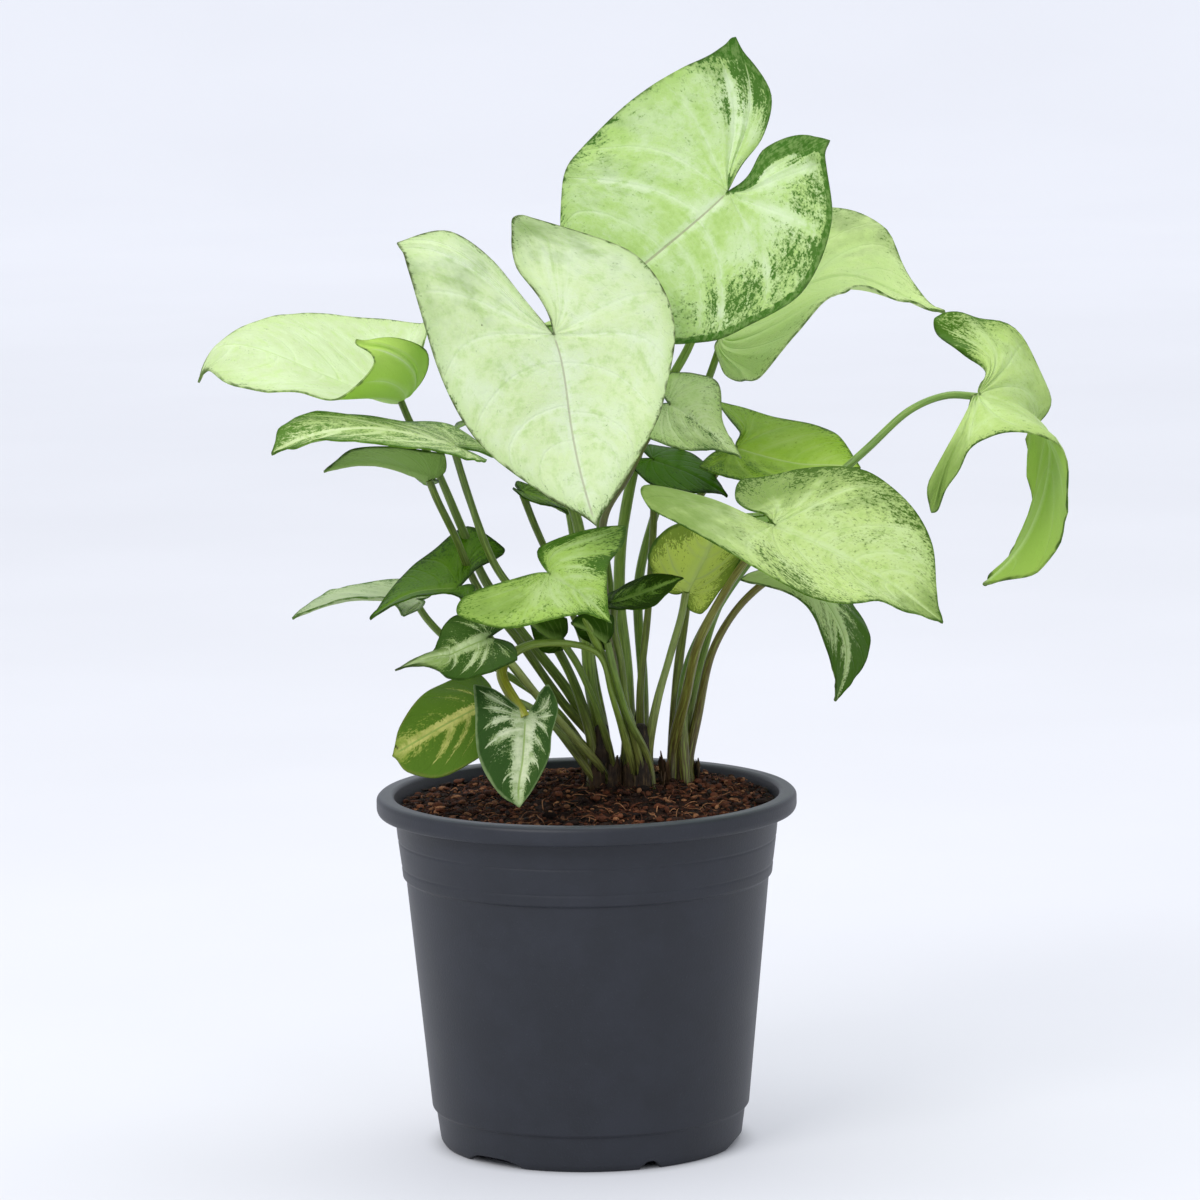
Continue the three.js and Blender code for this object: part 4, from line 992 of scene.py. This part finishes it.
def leaf_petiole(name, leaf, look, material, heading, seed):
    """The stalk of a leaf. Its foot stands in the soil and clasps the stem to where the stalk leaves it."""
    sides, count = 14, 96
    axis = np.array(STEMS[leaf["stem"]], float)
    out = np.array([math.cos(heading), math.sin(heading)])
    heights = (FOOT_BOTTOM, FOOT_MIDDLE, leaf["from"] - 4)
    clasp = [(*(axis + out * far), height) for far, height in zip(FOOT_REACH, heights)]
    end = np.array(leaf["attach"]) - 0.7 * leaf_normal(leaf_map(leaf))
    points, length = smooth_run([*clasp, *leaf["petiole"], end], count)
    run = np.linspace(0, length, count)
    clasped = leaf["from"] - FOOT_BOTTOM
    above = np.clip((run - clasped) / (length - clasped), 0, 1)
    low, middle, top = look["stalk"] or (leaf["radius"] * 0.82, leaf["radius"] * 0.74, PETIOLE_TIP)
    radii = np.interp(above, (0, 0.1, 0.4, 0.85, 1), (low, low, middle, top, top))
    radii = radii * (1 + 0.04 * waves(3, seed, 0.02, 0.08, 1)(run[:, None]))
    radii = radii * (1 + 0.15 * np.exp(-(((run - 28) / 10) ** 2)) - 0.1 * (1 - smooth(run, 8, 22)))
    corners, faces = tube(points, radii, sides)
    angle = np.tile(circle(sides), count)
    long = np.repeat(run, sides)
    near = smooth(long, length - 28, length - 12)[:, None]
    tone = np.array(srgb(*look["petiole"]))
    neck = np.array(srgb(*(look["neck"] or look["petiole"])))
    return mesh_object(f"{name}_petiole", corners, faces, material, {
        "run": long,
        "around": np.stack([np.cos(angle) * 4, np.sin(angle) * 4, long * 0.12 + seed * 7.7], 1),
        "tone": tone * (1 - near) + neck * near,
        "foot": np.tile(srgb(*look["foot"]), (count * sides, 1)),
    })


def petiole_material():
    s = Shader("petiole")
    around = s.attribute("around", "Vector")
    streak = s.noise(around, 1.2, 3.0, 0.6)
    fine = s.noise(s.stretch(around, (3.0, 3.0, 6.0)), 1.6, 2.0, 0.6)
    foot = s.mix(s.step(streak, 0.4, 0.62), s.attribute("foot", "Color"), srgb(124, 116, 60))
    high = s.attribute("run") + streak * 26.0
    colour = s.mix(s.step(high, 28.0, 62.0), foot, s.attribute("tone", "Color"))
    colour = s.mix(s.step(high, 14.0, 46.0, 0.85, 0.0), colour, srgb(50, 38, 20))
    # lengthwise streaks round the stalk, paler and darker: partly its own streaky colour and partly a
    # painted highlight and painted shade along its sides
    colour = s.mix(s.step(streak, 0.46, 0.72, 0.0, 0.5), colour, srgb(164, 188, 84))
    colour = s.mix(s.step(streak, 0.3, 0.5, 0.5, 0.0), colour, srgb(66, 70, 22))
    colour = s.mix(s.step(fine, 0.58, 0.75, 0.0, 0.3), colour, srgb(66, 68, 36))
    normal = s.bump(streak + fine * 0.2, 0.0003, 0.35)
    light = s.mix(0.3, colour, srgb(200, 230, 80), "MULTIPLY")
    return s.surface(colour, 0.32, normal, 0.34, light, 0.12)


class Heap:
    """Many small shapes gathered into one mesh, each with a tint of its own."""

    def __init__(self):
        self.corners = []
        self.faces = []
        self.tint = []
        self.count = 0

    def add(self, points, loops, tint):
        self.corners.append(points)
        self.faces.extend([[k + self.count for k in loop] for loop in loops])
        self.tint.append(np.full(len(points), tint))
        self.count += len(points)

    def piece(self, name, material, sharp=50):
        tint = {"tint": np.concatenate(self.tint)}
        return mesh_object(name, np.vstack(self.corners), self.faces, material, tint, sharp)


def stem_piece(name, place, material, seed):
    """A short stem, mostly hidden by the feet of its petioles, with the dry sheaths of old leaves on it."""
    rng = np.random.default_rng(seed)
    heights = np.linspace(STEM_FOOT, STEM_TOP, 40)
    radii = np.interp(heights, STEM_HEIGHTS, STEM_RADII)
    for joint in STEM_JOINTS:
        radii = radii + 0.35 * np.exp(-(((heights - joint - rng.uniform(-1, 1)) / 0.7) ** 2))
    corners, faces = tube(np.array([(*place, height) for height in heights]), radii, 24)
    rough = waves(8, seed, 0.05, 0.3, 3)(corners)[:, None]
    corners[:, :2] += (corners[:, :2] - place) * 0.08 * rough
    heap = Heap()
    heap.add(corners, faces, 0.3)
    for middle in rng.uniform(0, 2 * math.pi) + np.arange(SHEATHS) * 1.05 + rng.normal(0, 0.3, SHEATHS):
        heap.add(*dry_sheath(place, middle, rng), rng.uniform(0.1, 1))
    return heap.piece(f"{name}_bark", material)


def dry_sheath(place, middle, rng):
    """A curved, papery strip that stands round part of a stem, with a torn upper edge."""
    wide, tall = 9, 8
    half, top = rng.uniform(0.4, 0.75), rng.uniform(114, 123)
    radius, flare = rng.uniform(4.2, 6.6), rng.uniform(-0.6, 1.2)
    torn = rng.uniform(0, 4.5, wide)
    across, up = np.meshgrid(np.linspace(-1, 1, wide), np.linspace(0, 1, tall))
    height = SHEATH_BOTTOM + (top - SHEATH_BOTTOM - 2.5 * across ** 2 - torn[None] * up) * up
    angle = middle + half * across * (1 - 0.15 * up)
    out = radius + flare * up ** 2 + 0.25 * np.sin(across * 9 + up * 4)
    skins = []
    for thick in (0.2, -0.2):
        reach = out + thick * (1.1 - np.abs(across))
        skin = np.stack([place[0] + reach * np.cos(angle), place[1] + reach * np.sin(angle), height], -1)
        skins.append(skin.reshape(-1, 3))
    count = wide * tall
    loops = []
    for j in range(tall - 1):
        for i in range(wide - 1):
            a = j * wide + i
            loops.append((a, a + 1, a + 1 + wide, a + wide))
            loops.append((a + count, a + wide + count, a + 1 + wide + count, a + 1 + count))
    ring = [
        *range(wide), *range(2 * wide - 1, count, wide),
        *range(count - 2, count - wide - 1, -1), *range(count - 2 * wide, 0, -wide),
    ]
    loops.extend((b, a, a + count, b + count) for a, b in zip(ring, ring[1:] + ring[:1]))
    return np.vstack(skins), loops


def stem_material():
    s = Shader("stem")
    place = s.place()
    long = s.noise(s.stretch(place, (1.0, 1.0, 0.18)), 900.0, 4.0, 0.6)
    tone = s.noise(place, 220.0, 3.0, 0.6) * 0.6 + s.attribute("tint") * 0.5
    colour = s.mix(s.step(tone, 0.3, 0.8), srgb(26, 19, 12), srgb(78, 56, 34))
    colour = s.mix(s.step(long, 0.5, 0.72, 0.0, 0.5), colour, srgb(120, 98, 64))
    colour = s.mix(s.step(long, 0.3, 0.42, 0.75, 0.0), colour, srgb(36, 26, 16))
    return s.surface(colour, 0.62, s.bump(long, 0.0012, 0.8), 0.3)


# Soil
SOIL_EDGE = 105.5
SOIL_MOUND = 8.5
SOIL_CENTRE = (10, 8)
SOIL_SPREAD = 34
SOIL_RADIUS = 58.2
SOIL_BOTTOM = 98
CRUMBS = 5600
FIBRES = 420


def soil_height(x, y):
    away = ((x - SOIL_CENTRE[0]) ** 2 + (y - SOIL_CENTRE[1]) ** 2) / (2 * SOIL_SPREAD ** 2)
    lumps = 0.5 * np.sin(x * 0.45 + 1.3) * np.cos(y * 0.38) + 0.35 * np.sin(x * 0.9 - y * 0.7)
    return SOIL_EDGE + SOIL_MOUND * np.exp(-away * 1.6) + lumps


def soil_ground(material):
    rings, sides = 74, 200
    rough = waves(40, 5, 0.06, 0.42)
    corners = [(0, 0, float(soil_height(0, 0)))]
    for radius in np.linspace(0, SOIL_RADIUS, rings + 1)[1:]:
        ring = ring_corners(radius, 0, sides)
        ring[:, 2] = soil_height(ring[:, 0], ring[:, 1]) + 1.5 * rough(ring[:, :2]) - 0.6
        corners.extend(ring)
    corners.extend(ring_corners(SOIL_RADIUS * 0.98, SOIL_BOTTOM, sides))
    faces = disc_faces(rings + 1, sides)
    faces.append(tuple(1 + rings * sides + k for k in reversed(range(sides))))
    return mesh_object("soil_ground", corners, faces, material, {"tint": np.full(len(corners), 0.25)}, 80)


def crumb_shape(detail):
    work = bmesh.new()
    bmesh.ops.create_icosphere(work, subdivisions=detail, radius=1)
    corners = np.array([v.co[:] for v in work.verts])
    faces = [[v.index for v in f.verts] for f in work.faces]
    work.free()
    return corners, faces


def soil_crumbs(material):
    """Chips and fibres of coconut husk lying on the soil, in one mesh."""
    rng = np.random.default_rng(11)
    coarse, fine = crumb_shape(1), crumb_shape(2)
    heap = Heap()
    for _ in range(CRUMBS):
        radius = SOIL_RADIUS * math.sqrt(rng.uniform(0, 1)) * 0.975
        angle = rng.uniform(0, 2 * math.pi)
        size = 0.3 + 1.05 * rng.uniform(0, 1) ** 3
        ball, loops = fine if size > 1.0 else coarse
        points = ball * (1 + 0.32 * waves(4, int(rng.integers(1 << 30)), 0.15, 0.5, 3)(ball))[:, None]
        points = points * (size * rng.uniform((0.9, 0.6, 0.35), (1.7, 1.0, 0.75)))
        turn = Matrix.Rotation(rng.uniform(0, 6.28), 3, "Z") @ Matrix.Rotation(rng.normal(0, 0.5), 3, "X")
        away = min(radius, SOIL_RADIUS - 0.4 - size)
        x, y = away * math.cos(angle), away * math.sin(angle)
        z = soil_height(x, y) + rng.uniform(-0.5, 0.7) * size
        heap.add(points @ np.array(turn).T + (x, y, z), loops, rng.uniform(0, 1))
    t = np.linspace(-1, 1, 7)
    for _ in range(FIBRES):
        radius = (SOIL_RADIUS - 8) * math.sqrt(rng.uniform(0, 1))
        angle, heading = rng.uniform(0, 2 * math.pi, 2)
        reach = rng.uniform(1.2, 4.2)
        bow = rng.normal(0, 0.25) * (t * t - 0.5)
        x = radius * math.cos(angle) + reach * (t * math.cos(heading) - bow * math.sin(heading))
        y = radius * math.sin(angle) + reach * (t * math.sin(heading) + bow * math.cos(heading))
        z = soil_height(x, y) + 0.55 + rng.uniform(0, 0.8) * (1 - t * t) + 0.3 * t * rng.normal()
        thick = rng.uniform(0.08, 0.18) * (1.15 - 0.5 * t * t)
        heap.add(*tube(np.stack([x, y, z], 1), thick, 4), rng.uniform(0.3, 1.1))
    return heap.piece("soil_crumbs", material, 40)


def soil_material():
    s = Shader("soil")
    place, tint = s.place(), s.attribute("tint")
    grain = s.noise(place, 900.0, 4.0, 0.65)
    patch = s.noise(place, 60.0, 3.0, 0.6)
    colour = s.mix(s.step(tint * 0.7 + grain * 0.5, 0.3, 1.0), srgb(24, 13, 8), srgb(112, 62, 38))
    colour = s.mix(s.step(tint, 0.8, 1.0, 0.0, 0.75), colour, srgb(184, 132, 92))
    colour = s.mix(s.step(patch, 0.35, 0.65, 0.55, 0.0), colour, srgb(22, 13, 9))
    normal = s.bump(grain + s.noise(place, 2600.0), 0.0006, 0.9)
    return s.surface(colour, 0.88, normal, 0.25)


# Pot
RIM_RADIUS = 65
POT_HEIGHT = 110
BASE_RADIUS = 46.8
WALL = 1.2
LIP_WIDTH = 6
LIP_DEPTH = 6
COLLAR_HEIGHT = 19
FOOT_HEIGHT = 11.5
FLOOR = 1.6
CHANNEL_HEIGHT = 3
CHANNEL_RADIUS = 40
LIP_BOTTOM = POT_HEIGHT - LIP_DEPTH
LIP_INNER = RIM_RADIUS - LIP_WIDTH
COLLAR_BOTTOM = LIP_BOTTOM - COLLAR_HEIGHT
SUNK_FLOOR = CHANNEL_RADIUS - FLOOR
POT_SIDES = 288
# The pot's section from the middle of its underside, up the outside and down the inside, as radius, height
# and rounding.
POT_SECTION = [
    (0, 0, 0), (CHANNEL_RADIUS, 0, 0.4), (CHANNEL_RADIUS + 0.4, CHANNEL_HEIGHT, 0.4),
    (BASE_RADIUS - WALL - 0.8, CHANNEL_HEIGHT, 0.4), (BASE_RADIUS - WALL - 1.3, 0, 0.3),
    (BASE_RADIUS - 1.1, 0, 0.5), (BASE_RADIUS, 1.6, 0.8), (48.1, FOOT_HEIGHT - 0.5, 0.9),
    (49.3, FOOT_HEIGHT + 0.4, 0.6), (56.2, COLLAR_BOTTOM - 1.2, 0.5), (57.2, COLLAR_BOTTOM - 0.5, 0.4),
    (57.5, COLLAR_BOTTOM + 2.2, 0.3), (57.35, COLLAR_BOTTOM + 2.8, 0.2), (57.6, COLLAR_BOTTOM + 3.4, 0.3),
    (58.5, 95.4, 0.3), (58.35, 95.9, 0.2), (58.65, 96.5, 0.3), (59.4, LIP_BOTTOM, 0.5),
    (RIM_RADIUS - 0.7, LIP_BOTTOM, 0.8), (RIM_RADIUS, LIP_BOTTOM + 1.4, 0.7),
    (RIM_RADIUS, POT_HEIGHT - 1.1, 0.7), (RIM_RADIUS - 1.2, POT_HEIGHT, 0.5),
    (LIP_INNER + 1.5, POT_HEIGHT, 0.4), (LIP_INNER + 0.6, POT_HEIGHT - 0.7, 0.4), (58.4, LIP_BOTTOM, 0.5),
    (56.2, COLLAR_BOTTOM, 0.5), (55, COLLAR_BOTTOM - 1, 0.5), (48, FOOT_HEIGHT + 0.6, 0.5),
    (46.7, FOOT_HEIGHT - 0.4, 0.5), (46, CHANNEL_HEIGHT + FLOOR, 0.5),
    (SUNK_FLOOR, CHANNEL_HEIGHT + FLOOR, 0.5), (SUNK_FLOOR - 1, FLOOR, 0.5), (0, FLOOR, 0),
]
# The arched notches of the foot: three wide ones and three narrow ones, by bearing and half their width.
NOTCH_FIRST = -41
NOTCH_NEXT = 64
NOTCH_WIDE = 11.5
NOTCH_NARROW = 3.2


def rounded(section):
    """The section with each corner turned into a short curve."""
    points = [np.array(section[0][:2], float)]
    for before, corner, after in zip(section, section[1:], section[2:]):
        a, b, c = (np.array(p[:2], float) for p in (before, corner, after))
        reach = min(corner[2], np.linalg.norm(a - b) * 0.49, np.linalg.norm(c - b) * 0.49)
        first = b + (a - b) / np.linalg.norm(a - b) * reach
        last = b + (c - b) / np.linalg.norm(c - b) * reach
        for t in np.linspace(0, 1, 5):
            points.append(first * (1 - t) ** 2 + b * 2 * t * (1 - t) + last * t * t)
    points.append(np.array(section[-1][:2], float))
    return np.array(points)


def notch_top(angle):
    """How high the notches of the foot rise at each angle about +Z."""
    top = np.zeros_like(angle)
    for third in (0, 120, 240):
        for shift, half in ((0, NOTCH_WIDE), (NOTCH_NEXT, NOTCH_NARROW)):
            middle = math.radians(NOTCH_FIRST + shift + third - 90)
            away = (angle - middle + math.pi) % (2 * math.pi) - math.pi
            share = np.clip(np.abs(away) * BASE_RADIUS / half, 0, 1)
            top = np.maximum(top, (CHANNEL_HEIGHT - 0.3) * (1 - share ** 3.4))
    return top


def pot_shell(material):
    arch = notch_top(circle(POT_SIDES))
    corners, rows = [], []
    for radius, height in rounded(POT_SECTION):
        first = len(corners)
        if radius == 0:
            rows.append([first] * POT_SIDES)
            corners.append((0, 0, height))
            continue
        notched = radius > BASE_RADIUS - WALL - 2.2
        rows.append(range(first, first + POT_SIDES))
        corners.extend(ring_corners(radius, np.maximum(height, arch) if notched else height, POT_SIDES))
    faces = []
    for low, high in zip(rows, rows[1:]):
        for k in range(POT_SIDES):
            after = (k + 1) % POT_SIDES
            loop = [low[k], low[after], high[after], high[k]]
            faces.append([v for n, v in enumerate(loop) if v != loop[n - 1]])
    return mesh_object("pot_shell", corners, faces, material, sharp=40)


def pot_material():
    s = Shader("pot")
    place = s.place()
    fine = s.noise(place, 1500.0, 2.0, 0.6)
    dust = s.noise(place, 55.0, 4.0, 0.6)
    drawn = s.noise(s.stretch(place, (1.0, 1.0, 14.0)), 60.0, 2.0, 0.5)
    colour = s.mix(s.step(dust, 0.35, 0.7), srgb(32, 35, 42), srgb(37, 40, 48))
    colour = s.mix(s.step(fine, 0.62, 0.78, 0.0, 0.25), colour, srgb(58, 63, 71))
    # painted highlight: the top of the lip, above 109.3 mm, is mixed halfway to a lighter grey
    height = s.size(place, (0.0, 0.0, 1.0))
    colour = s.mix(s.step(height, 0.1093, 0.1099, 0.0, 0.5), colour, srgb(82, 88, 94))
    normal = s.bump(fine + drawn * 0.6, 0.00012, 0.5)
    return s.surface(colour, dust * 0.14 + 0.4, normal, 0.36)


# The room
FLOOR_RADIUS = 3600.0
FLOOR_BEND = 1500.0
FLOOR_SIDES = 96


def round_floor():
    """A pale floor that turns up into a pale wall all round, so that each side has the same background."""
    s = Shader("studio")
    place = s.place()
    cloud = s.noise(place, 3.0, 3.0, 0.5)
    colour = s.mix(s.step(cloud, 0.3, 0.7), srgb(172, 173, 176), srgb(176, 177, 180))
    away = s.size(place, (1.0, 1.0, 0.0))
    # the floor glows, a painted light that softens the shadows on it; there is no glow under the pot, a
    # painted shadow there, and a little more glow further out
    lit = s.step(away, 0.041, 0.053, 0.0, 0.36) + s.step(away, 0.6, 3.4, 0.0, 0.2)
    material = s.surface(colour, 0.75, None, 0.2, glow=(srgb(238, 241, 250), lit))
    turn = np.linspace(0, math.pi / 2, 16)
    run = [(900.0, 0.0), (2000.0, 0.0)]
    run += [(FLOOR_RADIUS + FLOOR_BEND * math.sin(t), FLOOR_BEND * (1 - math.cos(t))) for t in turn]
    run.append((FLOOR_RADIUS + FLOOR_BEND, FLOOR_BEND * 1.6))
    corners = [(0.0, 0.0, 0.0)]
    for radius, height in run:
        corners.extend(ring_corners(radius, height, FLOOR_SIDES))
    floor = mesh_object("studio_floor", corners, disc_faces(len(run), FLOOR_SIDES), material)


def light_room():
    world = bpy.data.worlds.new("world")
    scene.world = world
    world.use_nodes = True
    sky = world.node_tree.nodes["Background"]
    sky.inputs["Color"].default_value = srgb(236, 239, 248)
    sky.inputs["Strength"].default_value = 0.92
    middle = (0.0, 0.0, 0.16)
    add_light("key", (-0.9, -1.3, 1.5), middle, (0.9, 0.9), 22, (1.0, 0.985, 0.96))
    add_light("fill", (1.4, -1.2, 0.8), middle, (1.2, 1.2), 1.2, (0.95, 0.98, 1.0))
    add_light("top", (0.2, 0.5, 1.7), middle, (1.4, 1.4), 15, (1.0, 1.0, 1.0))


# The plant
# Each tone of leaf: its slot, and the roughness and the specular level of its surface.
TONES = {
    "pale": ("leaf_pale", 0.44, 0.2), "fresh": ("leaf_fresh", 0.42, 0.18),
    "mid": ("leaf_speckled", 0.43, 0.2), "dark": ("leaf_dark", 0.38, 0.12),
}
add_camera()
round_floor()
light_room()
scene.view_settings.view_transform = "Standard"

blade_surfaces = {tone: leaf_material(*finish) for tone, finish in TONES.items()}
petiole_surface = petiole_material()
feet = {}
for stem_name in STEMS:
    feet.update(spread_feet(stem_name))
for seed, (leaf_name, leaf) in enumerate(LEAVES.items(), 1):
    slot, look = TONES[leaf["tone"]][0], LOOKS[leaf_name]
    blade = leaf_blade(leaf_name, leaf, look, blade_surfaces[leaf["tone"]], seed)
    finish_piece(blade, slot, leaf_name)
    petiole = leaf_petiole(leaf_name, leaf, look, petiole_surface, feet[leaf_name], seed)
    finish_piece(petiole, slot, leaf_name)

bark = stem_material()
for seed, (stem_name, stem_place) in enumerate(STEMS.items(), 40):
    finish_piece(stem_piece(stem_name, stem_place, bark, seed), "stem", stem_name)

earth = soil_material()
finish_piece(soil_ground(earth), "soil", "soil")
finish_piece(soil_crumbs(earth), "soil", "soil")
finish_piece(pot_shell(pot_material()), "pot", "pot")
